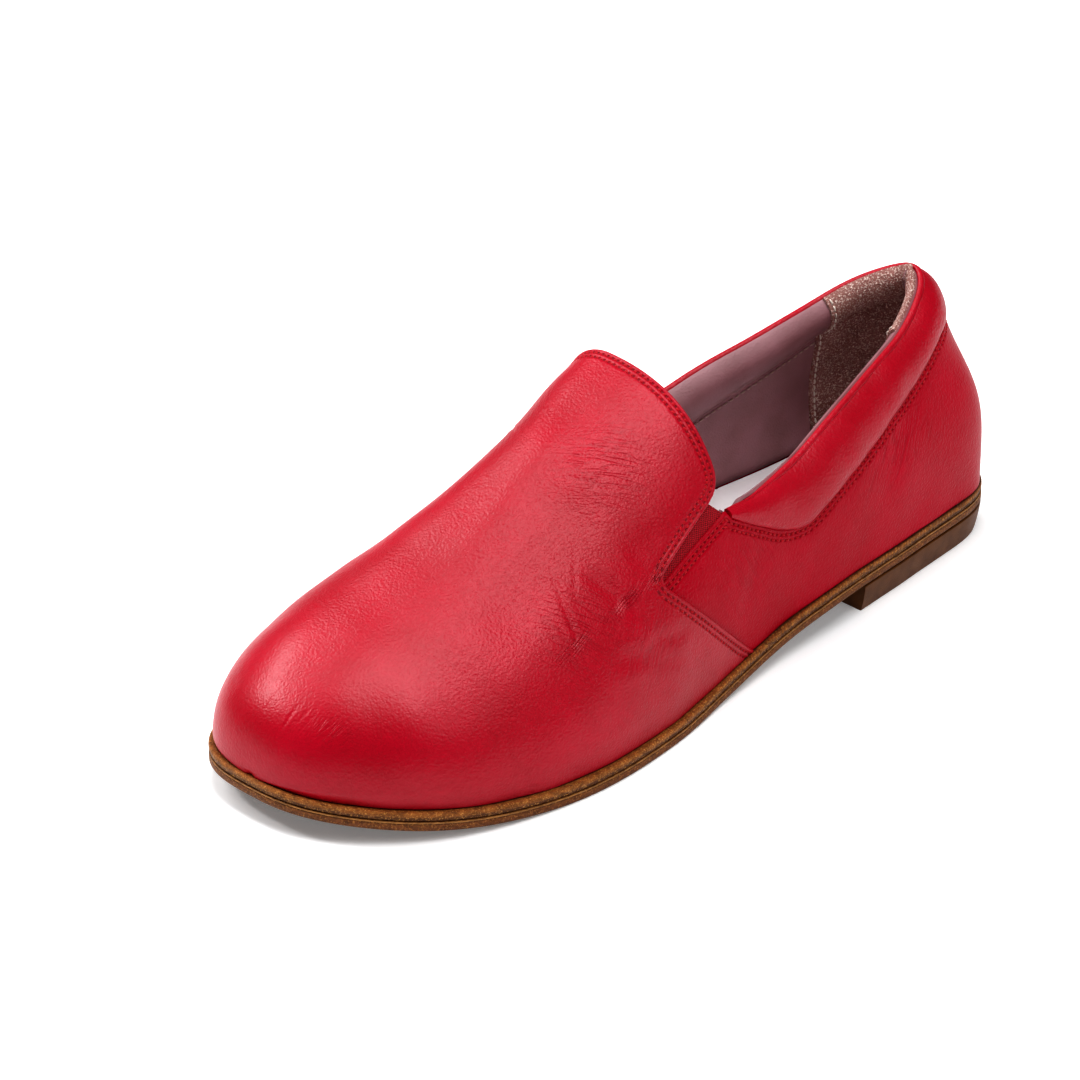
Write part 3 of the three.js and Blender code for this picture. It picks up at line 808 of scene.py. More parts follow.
station, side, level = vamp_grid(vamp_columns, vamp_rows)
lift = vamp_step * (step_at_sole + (1 - step_at_sole) * smooth(level / step_rise))
flat = skin(station, side, level, lift)
edge_distance, edge_along = along_path(flat, flat[0])
relief = worn_relief(
    flat, crease_rows, form_rows, wave_height=0.14 * mm, wave_size=26 * mm, seed=3)
relief = np.where(relief < 0, deepest * np.tanh(relief / deepest), relief)
relief = folded_edge(edge_distance) + relief * clear_of(edge_distance)
outer_out, inner_out = lift + relief, lift - vamp_leather
outer_out[-1], inner_out[-1] = outer_out[-1, 0], inner_out[-1, 0]
vamp_surface = skin(station, side, level, outer_out)
vamp_marks = leather_marks(station, side, level, edge_distance, edge_along)
vamp = sheet_object("vamp", vamp_surface, skin(station, side, level, inner_out), **vamp_marks)
fit(vamp, vamp_finish, "red_leather", "upper")


# The quarters
# The leather of both sides and round the heel, under the vamp's edge in front. Its top edge is
# folded too, with two rows of stitches below the collar and along the elastic.
quarter_leather = 0.9 * mm
quarter_lap = 5 * mm
quarter_front = tip[0] + quarter_lap
quarter_columns = 270
quarter_rows = 84
climb_growth = 1.7
fold_lost = 0.55
tuck_depth = 0.35 * mm
tuck_run = 1 * mm
collar_run = 4 * mm


def quarter_top(station):
    """Height of the quarters' top edge: the collar's seam, then the rear edge of the wedge, then
    level under the vamp."""
    x = foot_along(station)
    rise = np.interp(x, [collar_end_x - collar_tuck, rear_top[0]], [0, 1])
    wedge = np.interp(x, [rear_top[0], rear_foot[0]], [rear_top[1], rear_foot[1]])
    seam = seam_height(np.minimum(station, collar_end))
    return np.where(x < rear_top[0], seam + (rear_top[1] - seam) * rise, wedge)


quarter_creases = table("x0 d0 x1 d1 x2 d2 wide deep", [
    (0.470, 0.77, 0.486, 0.80, 0.505, 0.83, 1.2, 0.16),
    (0.452, 0.80, 0.470, 0.85, 0.484, 0.90, 1.2, 0.14),
    (0.428, 0.80, 0.438, 0.85, 0.452, 0.92, 1.4, 0.14),
    (0.255, 0.68, 0.262, 0.74, 0.280, 0.80, 1.6, 0.14),
    (0.205, 0.66, 0.212, 0.74, 0.228, 0.81, 1.8, 0.14),
    (0.232, 0.67, 0.238, 0.72, 0.248, 0.77, 1.3, 0.12),
    (0.150, 0.62, 0.160, 0.70, 0.172, 0.78, 1.8, 0.12),
    (0.470, -0.77, 0.486, -0.80, 0.505, -0.83, 1.2, 0.16),
    (0.240, -0.68, 0.250, -0.74, 0.270, -0.80, 1.6, 0.14),
])
quarter_forms = table("x0 d0 x1 d1 x2 d2 wide deep", [
    (0.420, 0.76, 0.440, 0.84, 0.470, 0.92, 9.0, 0.35),
    (0.300, 0.74, 0.340, 0.84, 0.390, 0.92, 11.0, -0.30),
    (0.160, 0.62, 0.190, 0.76, 0.240, 0.88, 10.0, 0.30),
])
along_sides, which_side = side_stations(station_at(quarter_front), quarter_columns)
top_level = level_at(along_sides, which_side, quarter_top(along_sides))
climb = np.linspace(0, 1, quarter_rows + 1)[:, None]
level = top_level * (1 - (1 - climb) ** climb_growth)
station, side = (np.broadcast_to(line, level.shape) for line in (along_sides, which_side))
flat = skin(station, side, level)
edge_distance, edge_along = along_path(flat, flat[-1])
x = flat[..., 0] - heel_back
under_vamp = smooth((x - vamp_edge_x(flat[..., 2]) + tuck_run / 2) / tuck_run)
by_collar = smooth((collar_end_x - collar_run / 2 - x) / collar_run)
relief = worn_relief(
    flat, quarter_creases, quarter_forms, wave_height=0.12 * mm, wave_size=24 * mm, seed=5)
relief = relief * clear_of(edge_distance) + folded_edge(edge_distance) * (1 - fold_lost * by_collar)
relief = relief * (1 - under_vamp) - tuck_depth * under_vamp
quarter_surface = skin(station, side, level, relief)
quarter_marks = leather_marks(station, side, level, edge_distance, edge_along)
quarter_back = skin(station, side, level, -quarter_leather)
quarters = sheet_object("quarters", quarter_surface, quarter_back, **quarter_marks)
fit(quarters, quarter_finish, "red_leather")


# The collar
# A soft roll of foam in red leather, sewn to the quarters along the groove below it. A thin
# folded edge runs along its top, where the lining is sewn to it.
collar_turns = 48
collar_columns = 150
roll_squareness = 0.8
collar_drop = 0.4 * mm
roll_lean = 0.22
roll_waves = 0.18 * mm


def collar_section(station, side, turn, grow=0.0):
    """The roll's section: a superellipse between the seam and the topline, its lower outer part
    fuller, standing out from the leather's surface by the collar's proud share."""
    along = collar_share(station, side)
    low = seam_height(station) - collar_drop
    high = topline(station)
    thick = collar_thick(along) * collar_thickness
    proud = collar_thick(along) * collar_proud
    up, out = (np.sign(way) * np.abs(way) ** roll_squareness for way in (np.sin(turn), np.cos(turn)))
    height = (low + high) / 2 + up * ((high - low) / 2 + grow)
    lean = roll_lean * thick * np.clip(up, 0, 1) ** 2 * (out > 0)
    return height, proud - thick / 2 + out * (thick / 2 + grow) - lean


def collar_point(station, side, turn, grow=0.0):
    """A point of the roll's surface in the shoe's frame."""
    height, out = collar_section(station, side, turn, grow)
    point = skin(station, side, level_at(station, side, height), out)
    point[..., 2] = height
    return point


def close_ends(rings, first, last):
    """A grid of rings, with a point as its first and as its last column to close the ends."""
    first, last = (np.broadcast_to(point, (len(rings), 1, 3)) for point in (first, last))
    return np.concatenate([first, rings, last], 1)


station, side = side_stations(collar_end, collar_columns)
turn = np.linspace(0, 2 * np.pi, collar_turns + 1)[:, None]
roll = collar_point(station, side, turn)
waves = roll_waves * soft_noise(roll, 14 * mm, seed=8)
roll = roll + unit(roll - roll[:-1].mean(0)) * waves[..., None]
roll[-1] = roll[0]
middles = roll[:-1].mean(0)
roll = close_ends(roll, middles[0], middles[-1])
collar = grid_object("collar_roll", roll)
fit(collar, vamp_finish, "red_leather", "collar")

edge_radius = 1.05 * mm
edge_turn = np.radians(101)
edge_sink = 0.25 * mm
edge_stop = 0.992
taper_start = 0.86
taper_loss = 0.7


def tube_object(name, path, radius, sides=10):
    """A round cord along a path: rings square to it, with closed ends."""
    along = unit(np.gradient(path, axis=0))
    radius = np.broadcast_to(radius, path.shape[0])[:, None]
    across = unit(np.cross(along, [0.0, 0.0, 1.0]))
    up = np.cross(across, along)
    turn = np.linspace(0, 2 * np.pi, sides + 1)[:-1, None, None]
    rings = path + radius * (np.cos(turn) * across + np.sin(turn) * up)
    closed = close_ends(np.concatenate([rings, rings[:1]]), path[0], path[-1])
    return grid_object(name, closed, sharp=80)


edge_taper = 1 - taper_loss * smooth((station / collar_end - taper_start) / (1 - taper_start))
edge_path = collar_point(station * edge_stop, side, edge_turn, -edge_sink)
collar_edge = tube_object("collar_edge", edge_path, edge_radius * edge_taper)
fit(collar_edge, vamp_finish, "red_leather")


# The lining
# Smooth mauve leather. It covers the inner half of the collar's roll, is stitched in below it,
# and runs down inside the quarters to the sock. The vamp has a lining of its own.
lining_thickness = 0.8 * mm
roll_rows = 26
drop_rows = 34
roll_bulge = 2.8 * mm
bulge_middle = np.radians(175)
bulge_width = np.radians(42)
lining_start = np.radians(111)
lining_end = np.radians(262)
front_blend = 9 * mm
front_gap = 1 * mm
settle_rate = 13
sock_thickness = 5.2 * mm
sock_top = clearance + sock_thickness
lowest_level = 1e-3
lining_columns = 130


def lining_leather(name):
    """Vegetable-tanned lining leather, matt with a fine even grain."""
    finish = Finish(name)
    clouds = finish.noise(14 * mm, detail=3.0)
    grain = finish.cells(0.5 * mm, feature="SMOOTH_F1")
    colour = finish.mix(clouds.clamp(0.3, 0.7), (146, 104, 108), (164, 120, 126))
    normal = finish.bump(grain, 0.08 * mm)
    return finish.finish(colour, 0.42 + clouds * 0.1, normal, Specular_IOR_Level=0.5)


def inside_grid(front, columns, grow):
    """Points down the inside: round the inner half of the roll, in at its seam, then down the wall
    to the sock, a distance grow clear of the roll and of the wall."""
    station, side = side_stations(station_at(front), columns)
    on_roll = np.minimum(station, collar_end)
    turn = np.linspace(lining_start, lining_end, roll_rows)[:, None]
    x = foot_along(station, side)
    beside = smooth((x - collar_end_x + front_blend) / (front_blend - front_gap))
    height, out = collar_section(on_roll, side, turn, grow)
    bulge = roll_bulge * collar_thick(collar_share(on_roll, side))
    out = out - bulge * hump(turn, bulge_middle, bulge_width)
    wall_out = -wall - grow + lining_thickness
    height = height + (quarter_top(station) - height) * beside
    out = out + (wall_out - out) * beside
    drop = np.linspace(0, 1, drop_rows + 1)[1:, None]
    sock_height = sole_top(x) + sock_top - 0.5 * mm
    down = height[-1] + (sock_height - height[-1]) * drop
    down_out = out[-1] + (wall_out - out[-1]) * smooth(drop * settle_rate)
    heights, outs = np.concatenate([height, down]), np.concatenate([out, down_out])
    point = skin(station, side, np.maximum(level_at(station, side, heights), lowest_level), outs)
    point[..., 2] = heights
    return point


lining_finish = lining_leather("lining leather")
lining_face = inside_grid(quarter_front, lining_columns, lining_thickness)
lining_back = inside_grid(quarter_front, lining_columns, 0.05 * mm)
lining = sheet_object("quarter_lining", lining_face, lining_back)
fit(lining, lining_finish, "lining")

station, side, level = vamp_grid(columns=48, rows=80, edge_shift=0.6 * mm)
lining_out = vamp_step - vamp_leather - 0.1 * mm
vamp_lining = sheet_object(
    "vamp_lining", skin(station, side, level, lining_out), skin(station, side, level, -wall))
fit(vamp_lining, lining_finish, "lining")


# The heel grip
# A soft suede patch round the inside of the heel, over the lining and the roll, sewn down along
# its front edges. Glints of light off its nap are painted in as pale specks, and it folds in at the
# centre back.
grip_front = 33 * mm
grip_thickness = 0.7 * mm
grip_columns = 80
fold_width = 1.6 * mm
fold_depth = 1.2 * mm
fold_swell = 0.35
fold_end = 0.7 * roll_rows
fold_fade = 0.6 * roll_rows


def suede(name):
    """Napped suede: brown, with pale specks painted in as glints of light off the nap, and no shine."""
    finish = Finish(name)
    clouds = finish.noise(9 * mm, detail=4.0)
    nap_and_glints = finish.noise(0.55 * mm, detail=3.0, roughness=0.7)
    specks = finish.cells(0.6 * mm)
    brown = finish.mix(clouds.clamp(0.3, 0.7), (148, 102, 96), (172, 128, 120))
    # Painted highlight: pale specks stand for glints of light off the nap.
    pale = finish.mix(nap_and_glints.clamp(0.52, 0.64) * 0.85, brown, (250, 232, 222))
    normal = finish.bump(nap_and_glints + specks * 0.5, 0.45 * mm)
    return finish.finish(pale, 0.85, normal, Specular_IOR_Level=0.3)


grip_face = inside_grid(grip_front, grip_columns, lining_thickness + grip_thickness)
grip_back = inside_grid(grip_front, grip_columns, lining_thickness)
from_centre = np.linalg.norm(grip_face - grip_face[:, grip_columns, None], axis=-1)
on_top = 1 - smooth((np.arange(len(grip_face)) - fold_end) / fold_fade)[:, None]
fold = hump(from_centre, 0, fold_width) - fold_swell * hump(from_centre, 2 * fold_width, fold_width)
grip_face[..., 0] -= fold_depth * fold * on_top
grip = sheet_object("heel_grip", grip_face, grip_back)
fit(grip, suede("grip suede"), "suede")


# The elastic wedges
# Woven elastic, set behind the leather at both sides of the throat, where it lets the shoe open
# for the foot. Its weave runs across the wedge.
elastic_thickness = 1.4 * mm
elastic_recess = 0.6 * mm
elastic_tuck = 2.0 * mm
web_rows = 40
web_columns = 24


def woven_elastic(name):
    """Ribbed elastic web: dark red threads over and under, painted darker in the hollows between them as
    shade, with a dull sheen.
    """
    finish = Finish(name)
    along = finish.attribute("web_along")
    across = finish.attribute("web_across")
    wave = finish.math("SINE", along * (2 * np.pi / (1.1 * mm)))
    weft = finish.math("SINE", across * (2 * np.pi / (0.9 * mm)))
    thread = wave * weft * 0.5 + 0.5
    fuzz = finish.noise(0.3 * mm, detail=2.0)
    # Painted shade: the weave is darker in its hollows, where the bump is low.
    colour = finish.mix(thread * 0.6 + fuzz * 0.3, (58, 2, 12), (214, 36, 54))
    normal = finish.bump(thread + fuzz * 0.5, 0.16 * mm)
    return finish.finish(colour, 0.8, normal, Specular_IOR_Level=0.3)


def locate(x, height, side):
    """Station and level of the place on the last with this x and height: both are corrected in turn."""
    station = station_at(x) * np.ones_like(height)
    for _ in range(12):
        level = level_at(station, side, height)
        miss = last_point(station, side, level)[..., 0] - x
        station = station - miss * 2 / (np.pi * shoe_length * np.sin(np.pi * station))
    return station, level


def tucked_edge(top, foot, tuck):
    """The web's edge down the wedge, from top to foot, moved a distance under the leather."""
    run = foot - top
    down = np.linspace(0, 1, web_rows)[:, None, None]
    return top + tuck * unit(np.array([-run[1], run[0]])) + down * run


elastic_finish = woven_elastic("elastic web")
rear = tucked_edge(rear_top, rear_foot, -elastic_tuck)
front = tucked_edge(corner_foot, front_foot, elastic_tuck)
across = np.linspace(0, 1, web_columns)[None, :]
web_place = rear + across[..., None] * (front - rear)
web_along = distance_along(rear[:, 0])[:, None] + 0 * across
web_across = across * np.linalg.norm(front - rear, axis=-1)
for name, which in (("gore_outer", 1.0), ("gore_inner", -1.0)):
    station, level = locate(web_place[..., 0], web_place[..., 1], which)
    face = skin(station, which, level, -elastic_recess)
    back = skin(station, which, level, -elastic_recess - elastic_thickness)
    web = sheet_object(name + "_web", face, back, web_along=web_along, web_across=web_across)
    fit(web, elastic_finish, "elastic", name)


# The stitches
# Waxed thread, red on the leather and pale inside, in lockstitches that dip in at both ends. Two
# rows run along each folded edge, one along the seam inside and one down each grip edge.
stitch_width = 0.62 * mm
inside_pitch = 2.2 * mm
inside_width = 0.55 * mm
stitch_reach = 0.43
stitch_blunt = 0.7


def thread_finish(name, colour, dark):
    """Twisted waxed thread."""
    finish = Finish(name)
    twist = finish.noise(0.5 * mm, detail=2.0)
    return finish.finish(finish.mix(twist, dark, colour), 0.55, Specular_IOR_Level=0.35)


def read_at(at, walked, values):
    """The values at places along a path, read between its points."""
    return np.stack([np.interp(at, walked, column) for column in values.T], -1)


def stitches(name, rows, pitch, width, finish, slot, dip=0.55, lift=0.0):
    """Stitches along paths of points with normals: a half-thick capsule for each, bent down at its
    ends and lifted off the path, laid at equal steps along it. All are one mesh."""
    length_steps, turns = 7, 8
    along = np.linspace(-1, 1, length_steps)[:, None]
    turn = np.linspace(0, 2 * np.pi, turns + 1)[None, :]
    girth = np.sqrt(np.clip(1 - along**2, 0, 1)) ** stitch_blunt
    shape = np.stack(np.broadcast_arrays(
        along * stitch_reach * pitch,
        girth * np.cos(turn) * width / 2,
        girth * np.sin(turn) * width / 2 - dip * width * along**2,
    ), -1)
    points, faces = [], []
    for path, normal, walked in rows:
        at = pitch * np.arange(np.ceil(walked[0] / pitch + 0.5), np.floor(walked[-1] / pitch - 0.4))
        centre, up = read_at(at, walked, path), read_at(at, walked, normal)
        forward = unit(read_at(at + 0.3 * pitch, walked, path) - centre)
        up = unit(up - (up * forward).sum(-1, keepdims=True) * forward)
        basis = np.stack([forward, np.cross(up, forward), up], 1)
        placed = np.einsum("lti,sij->sltj", shape, basis) + (centre + lift * up)[:, None, None]
        starts = sum(map(len, points)) + np.arange(len(at))[:, None, None] * shape[..., 0].size
        points.append(placed.reshape(-1, 3))
        faces.append((grid_faces(length_steps, turns + 1) + starts).reshape(-1, 4))
    return fit(mesh_object(name, np.concatenate(points), np.concatenate(faces), sharp=80), finish, slot)


def row_inside(surface, marks, row, normal_of):
    """The line on a grid that lies a distance from its edge, with its normals and the way along the
    edge: each grid line is read where its own distance from the edge passes that number."""
    distance, along = marks["edge_distance"], marks["edge_along"]
    order = np.maximum(np.argmax(distance > row, axis=0), 1)
    pick = np.arange(surface.shape[1])
    d0, d1 = distance[order - 1, pick], distance[order, pick]
    share = np.clip((row - d0) / np.maximum(d1 - d0, weld_distance), 0, 1)[:, None]
    path = surface[order - 1, pick] * (1 - share) + surface[order, pick] * share
    walked = along[order - 1, pick] * (1 - share[:, 0]) + along[order, pick] * share[:, 0]
    ahead = np.concatenate([[True], walked[1:] > np.maximum.accumulate(walked)[:-1]])
    return path[ahead], normal_of[order, pick][ahead], walked[ahead]


def grid_normals(surface):
    """Unit normals of a grid of points, pointing away from the middle of the shoe."""
    normal = unit(np.cross(np.gradient(surface, axis=0), np.gradient(surface, axis=1)))
    middle = np.array([surface[..., 0].mean(), 0.0, 20 * mm])
    outwards = (normal * (surface - middle)).sum(-1).mean() > 0
    return normal if outwards else -normal


red_thread = thread_finish("red thread", (196, 8, 32), (160, 2, 22))
vamp_normals = grid_normals(vamp_surface)
quarter_normals = grid_normals(quarter_surface)[::-1]
from_top = {key: quarter_marks[key][::-1] for key in ("edge_distance", "edge_along")}
seam_rows = []
for row in row_places:
    seam_rows.append(row_inside(vamp_surface, vamp_marks, row, vamp_normals))
    path, normal, walked = row_inside(quarter_surface[::-1], from_top, row, quarter_normals)
    clear = path[:, 0] - heel_back < rear_foot[0] - 2 * mm
    seam_rows.append((path[clear], normal[clear], walked[clear]))
stitches("edge_stitches", seam_rows, stitch_pitch, stitch_width, red_thread, "thread")

tone_thread = thread_finish("tone thread", (206, 178, 172), (160, 130, 128))
pale_thread = thread_finish("pale thread", (250, 240, 230), (216, 200, 190))
for name, face, lines, thread, lift in (
    ("lining_stitches", lining_face, [np.s_[roll_rows + 2]], tone_thread, 0.3 * mm),
    ("grip_stitches", grip_face, [np.s_[:, 2], np.s_[:, -3]], pale_thread, 0.2 * mm),
):
    inwards = -grid_normals(face)
    rows = [(face[line], inwards[line], distance_along(face[line])) for line in lines]
    stitches(name, rows, inside_pitch, inside_width, thread, "thread", dip=0.3, lift=lift)


# The sock
# A pale leather sock on its filling, on the sole inside, with small breathing holes.
sock_gap = 0.8 * mm
sock_inset = wall + sock_gap
sock_bottom = sole_thickness + clearance


def sock_leather(name):
    """Pale matt leather with small round holes, painted dark inside as shade."""
    finish = Finish(name)
    clouds = finish.noise(12 * mm, detail=3.0)
    hole = 1 - finish.cells(4.6 * mm).clamp(0.07, 0.13)
    pale = finish.mix(clouds.clamp(0.3, 0.75), (255, 254, 255), (244, 242, 244))
    # Painted shade: the holes are darkened as the shade in them.
    colour = finish.mix(hole, pale, (66, 58, 58))
    normal = finish.bump(1 - hole + clouds * 0.2, 0.3 * mm)
    return finish.finish(colour, 0.7, normal, Specular_IOR_Level=0.3)


def there_and_back(values):
    """A profile's values up the outer side, down the inner side and back at the start."""
    return np.concatenate([values, values[..., ::-1], values[..., :1]], -1)


def outline_rings(station, inset, height, base):
    """A ring for each station of the outline, up the profile on the outer side and down it on the
    inner side. The base gives the height that the profile stands on at each x."""
    inset, height = there_and_back(inset), there_and_back(height)
    side = there_and_back(np.ones(inset.shape[-1] // 2))
    side[len(side) // 2:-1] = -1
    x, y = inset_point(station, side, inset)
    return np.stack([x, y, base(x) + height], -1)


def slab(name, profile, stations=260):
    """A layer with the sole's outline. The profile gives insets, heights and whether an inset starts
    from the ledge's inner edge. The points carry their height, their inset, the way along the edge
    and how near they are to the foot of the upper, where the edge is painted with shade."""
    station = np.linspace(0, 1, stations)[:, None]
    inset, height, on_ledge = (np.array(column) for column in zip(*profile))
    ring = outline_rings(station, inset + on_ledge * ledge(station), height, sole_bottom)
    ring[..., 0] += heel_back
    walked = [distance_along(np.concatenate(outline_point(station, side), 1)) for side in (1.0, -1.0)]
    turns = np.repeat([0, 1, 0], [len(profile), len(profile), 1])
    edge_inset = there_and_back(inset) + 0 * station
    return grid_object(
        name, ring, sharp=35, edge_inset=edge_inset,
        edge_height=there_and_back(height) + 0 * station, edge_walk=np.stack(walked)[turns].T,
        edge_foot=smooth((edge_inset - ledge(station) + 0.7 * mm) / (0.5 * mm)))


sock_profile = [
    (sock_inset, sock_bottom, 1),
    (sock_inset, sock_bottom + 0.7 * sock_thickness, 1),
    (sock_inset + 0.4 * mm, sock_bottom + sock_thickness, 1),
    (sock_inset + 3 * mm, sock_bottom + 0.95 * sock_thickness, 1),
    (sock_inset + 9 * mm, sock_bottom + 0.9 * sock_thickness, 1),
]
sock = slab("sock", sock_profile)
fit(sock, sock_leather("sock leather"), "sock", "insole")


# The sole
# Two layers of waxed leather, the welt above and the outsole below, with a groove between them
# and a narrow ledge around the upper. Their cut edges show the leather's fibres and old wax, with painted
# shade in the grooves, along the bottom and where they meet the upper.
def edge_leather(name, stops, low, high, rubbed, marks=0.0):
    """The waxed cut edge: bands of brown by height, darker at the bottom and in the grooves between
    the layers as painted shade, mottled and grainy, with golden specks where it is rubbed, painted
    shade beside the upper, and a wheel's slanted marks along the waist's ledge."""
    finish = Finish(name)
    height = finish.attribute("edge_height").clamp(low, high)
    # Painted shade: the bands by height are darker at the bottom and in the grooves between the layers.
    shaded_bands = finish.node("ShaderNodeValToRGB", {"Fac": height}, stops=stops)
    mottle = finish.noise(1.5 * mm, detail=4.0, roughness=0.7, stretch=(0.6, 0.6, 1.4))
    speck = finish.noise(0.55 * mm, detail=3.0, roughness=0.75)
    colour = finish.mix(mottle.clamp(0.4, 0.68) * 0.7, shaded_bands, (66, 36, 14))
    colour = finish.mix(speck.clamp(0.53, 0.66) * 0.7, colour, rubbed)
    # Painted shade where the sole meets the upper.
    colour = finish.mix(finish.attribute("edge_foot") * 0.85, colour, (48, 22, 12))
    walked = finish.attribute("edge_walk")
    slant = walked + finish.attribute("edge_inset") * 0.8
    at_waist = walked.clamp(155 * mm, 140 * mm)
    wheel = finish.math("SINE", slant * (2 * np.pi / (1.5 * mm))) * at_waist * marks
    colour = finish.mix(wheel.clamp(0.1, 0.9) * mottle * 0.6, colour, (70, 40, 18))
    normal = finish.bump(mottle + speck * 0.9 - wheel * 0.25, 0.3 * mm)
    return finish.finish(colour, 0.45 + mottle * 0.25, normal, Specular_IOR_Level=0.35)


outsole_profile = [
    (6 * mm, 0, 0),
    (0.9 * mm, 0, 0),
    (0.3 * mm, 0.15 * mm, 0),
    (0.05 * mm, 0.6 * mm, 0),
    (0, 1.3 * mm, 0),
    (0.05 * mm, 2.1 * mm, 0),
    (0.16 * mm, 2.3 * mm, 0),
    (0.06 * mm, 2.45 * mm, 0),
    (0.06 * mm, 2.75 * mm, 0),
    (0.2 * mm, outsole_thickness, 0),
    (6 * mm, outsole_thickness, 0),
]
outsole = slab("outsole_leather", outsole_profile)
# Painted shade: darker at the bottom and at the groove near the top; a thin pale line lies just above the
# groove.
outsole_bands_and_shade = [
    (0.0, (96, 60, 28)),
    (0.3, (120, 70, 32)),
    (0.68, (132, 80, 38)),
    (0.78, (92, 56, 26)),
    (0.86, (196, 142, 80)),
    (1.0, (140, 92, 44)),
]
fit(outsole, edge_leather("outsole edge", outsole_bands_and_shade, 0.0, outsole_thickness, (196, 138, 72)),
    "sole_leather", "outsole")

welt_low = outsole_thickness + clearance
welt_profile = [
    (6 * mm, welt_low, 0),
    (0.35 * mm, welt_low, 0),
    (0.2 * mm, welt_low + 0.15 * mm, 0),
    (0.2 * mm, welt_low + 0.7 * mm, 0),
    (0.12 * mm, welt_low + 0.95 * mm, 0),
    (0.0, welt_low + 1.25 * mm, 0),
    (0.05 * mm, welt_low + 1.95 * mm, 0),
    (0.3 * mm, welt_low + midsole_thickness - 0.1 * mm, 0),
    (0.6 * mm, sole_thickness, 0),
    (1.1 * mm, sole_thickness, 0),
    (1.6 * mm, sole_thickness, 0),
    (2.1 * mm, sole_thickness, 0),
    (2.8 * mm, sole_thickness, 0),
    (8 * mm, sole_thickness, 0),
]
welt = slab("welt_leather", welt_profile)
# Painted shade: darker in the recessed band at the welt's foot, next to the groove.
welt_bands_and_shade = [
    (0.0, (96, 58, 26)),
    (0.34, (104, 62, 28)),
    (0.5, (150, 94, 40)),
    (0.85, (164, 102, 44)),
    (1.0, (150, 92, 40)),
]
fit(welt, edge_leather("welt edge", welt_bands_and_shade, welt_low, sole_thickness, (228, 168, 92), 1.0),
    "welt_leather", "midsole")


# The heel
# A moulded rubber lift, smooth and dark brown, that tapers a little towards the floor and ends
# in front in a straight breast.
heel_taper = 1.5 * mm
breast_gap = 0.05 * mm


def heel_rubber(name):
    """Moulded rubber with a faint mould texture and cloudy scuffs."""
    finish = Finish(name)
    clouds = finish.noise(5 * mm, detail=4.0)
    fine = finish.noise(0.35 * mm, detail=2.0)
    colour = finish.mix(clouds.clamp(0.3, 0.7), (106, 62, 20), (86, 48, 14))
    normal = finish.bump(fine + clouds * 0.3, 0.05 * mm)
    return finish.finish(colour, 0.4 + clouds * 0.12, normal, Specular_IOR_Level=0.25)


heel_top = heel_height - clearance
heel_profile = [
    (heel_taper + 4 * mm, 0.0),
    (heel_taper + 0.5 * mm, 0.0),
    (heel_taper + 0.12 * mm, 0.15 * mm),
    (heel_taper, 0.6 * mm),
    (0.75 * heel_taper, 0.25 * heel_top),
    (0.35 * heel_taper, 0.62 * heel_top),
    (0.1 * heel_taper, heel_top - 0.7 * mm),
    (0.15 * mm, heel_top - 0.3 * mm),
    (0.4 * mm, heel_top),
    (5 * mm, heel_top),
]
station = np.linspace(0, 1, 90)[:, None] * station_at(heel_length)
inset, height = (np.array(column) for column in zip(*heel_profile))
ring = outline_rings(station, inset, height, np.zeros_like)
ring[..., 0] = heel_back + np.minimum(ring[..., 0], heel_length - breast_gap)
front = ring[-1].copy()
front[:, 0] = heel_back + heel_length
centre = np.broadcast_to(front[:-1].mean(0), front.shape)
ring = np.concatenate([ring, front[None], centre[None]])
heel = grid_object("heel_rubber", ring, sharp=30)
fit(heel, heel_rubber("heel rubber"), "heel_rubber", "heel")


# The photo's view
# A pale floor, large soft lights, and a long lens at the photo's angle to the shoe.
view_azimuth = np.radians(135.837)
view_elevation = np.radians(27.952)
view_distance = 1700 * mm
frame_pixels = 1080
pixels_per_mm = 3.63027
focal_pixels = pixels_per_mm * view_distance / mm
floor_size = 2.0
sensor_width = 36.0
look_at = np.array([heel_back + 135 * mm, 0.0, 30 * mm])
look_shift = (-22.448 * mm, 4.437 * mm)

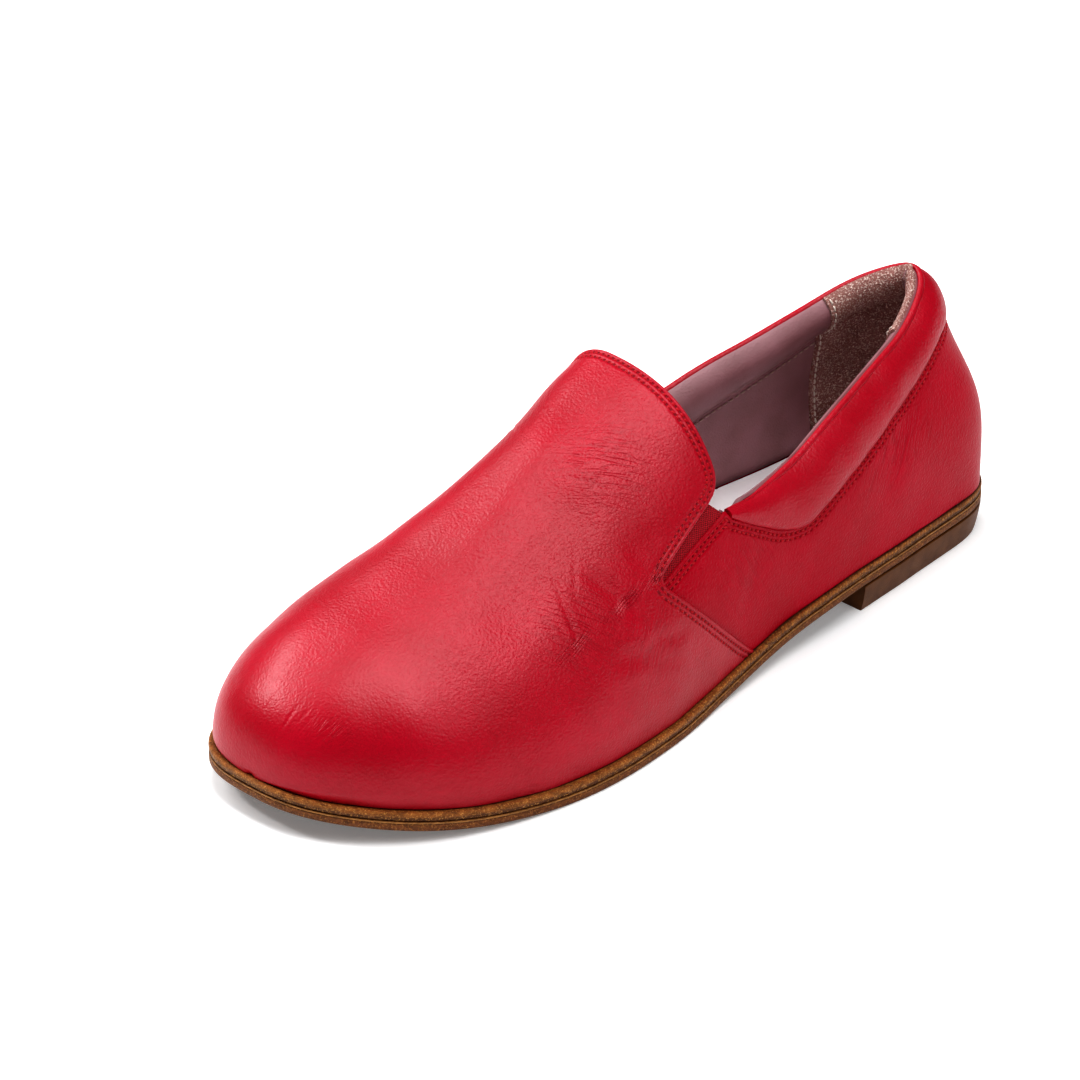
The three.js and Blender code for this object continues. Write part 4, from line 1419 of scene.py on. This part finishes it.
view_back = np.array([
    np.sin(view_azimuth) * np.cos(view_elevation),
    -np.cos(view_azimuth) * np.cos(view_elevation),
    np.sin(view_elevation),
])
view_right = np.array([np.cos(view_azimuth), np.sin(view_azimuth), 0.0])
view_up = np.cross(view_back, view_right)
view_place = look_at + look_shift[0] * view_right + look_shift[1] * view_up + view_distance * view_back
camera = bpy.data.objects.new("camera", bpy.data.cameras.new("camera"))
camera.data.sensor_width = sensor_width
camera.data.lens = focal_pixels / frame_pixels * sensor_width
camera.data.clip_end = 20
turned = np.eye(4)
turned[:3, :3] = np.stack([view_right, view_up, view_back], 1)
turned[:3, 3] = view_place
camera.matrix_world = Matrix(turned.tolist())
scene.collection.objects.link(camera)
scene.camera = camera

floor_finish = Finish("floor paper")
floor_shade = floor_finish.noise(300 * mm, detail=1.0)
floor_material = floor_finish.finish(
    floor_finish.mix(floor_shade, (246, 246, 248), (250, 250, 250)), 0.75, Specular_IOR_Level=0.2,
    Emission_Color=paint((255, 255, 255)), Emission_Strength=0.15)
corners = np.array([[-1, -1, 0], [1, -1, 0], [1, 1, 0], [-1, 1, 0]]) * floor_size
floor_mesh = bpy.data.meshes.new("floor")
floor_mesh.from_pydata(corners.tolist(), [], [(0, 1, 2, 3)])
floor = bpy.data.objects.new("floor", floor_mesh)
floor_mesh.materials.append(floor_material)
scene.collection.objects.link(floor)


def soft_light(name, place, size, power, colour=(1.0, 1.0, 1.0), aim=(0.1, 0.0, 0.03)):
    """A light panel that faces the shoe, given its width and height."""
    lamp = bpy.data.lights.new(name, "AREA")
    lamp.shape, lamp.energy, lamp.color = "RECTANGLE", power, colour
    lamp.size, lamp.size_y = size
    panel = bpy.data.objects.new(name, lamp)
    panel.location = place
    panel.rotation_euler = (Vector(aim) - Vector(place)).to_track_quat("-Z", "Y").to_euler()
    scene.collection.objects.link(panel)


soft_light("overhead", (0.08, 0.15, 1.4), (0.7, 1.4), 16, aim=(0.08, 0.15, 0.0))
soft_light("back left", (0.3, -1.45, 1.35), (0.9, 0.35), 12)
soft_light("beside the toe", (1.0, -1.35, 1.4), (0.35, 0.25), 11)
soft_light("front right", (-0.15, 1.5, 1.3), (0.9, 0.5), 5)
world = bpy.data.worlds.new("dim room")
world.use_nodes = True
background = world.node_tree.nodes["Background"].inputs
background["Color"].default_value = (1.0, 1.0, 1.0, 1.0)
background["Strength"].default_value = 0.1
scene.world = world
scene.view_settings.view_transform = "Standard"
scene.view_settings.look = "High Contrast"
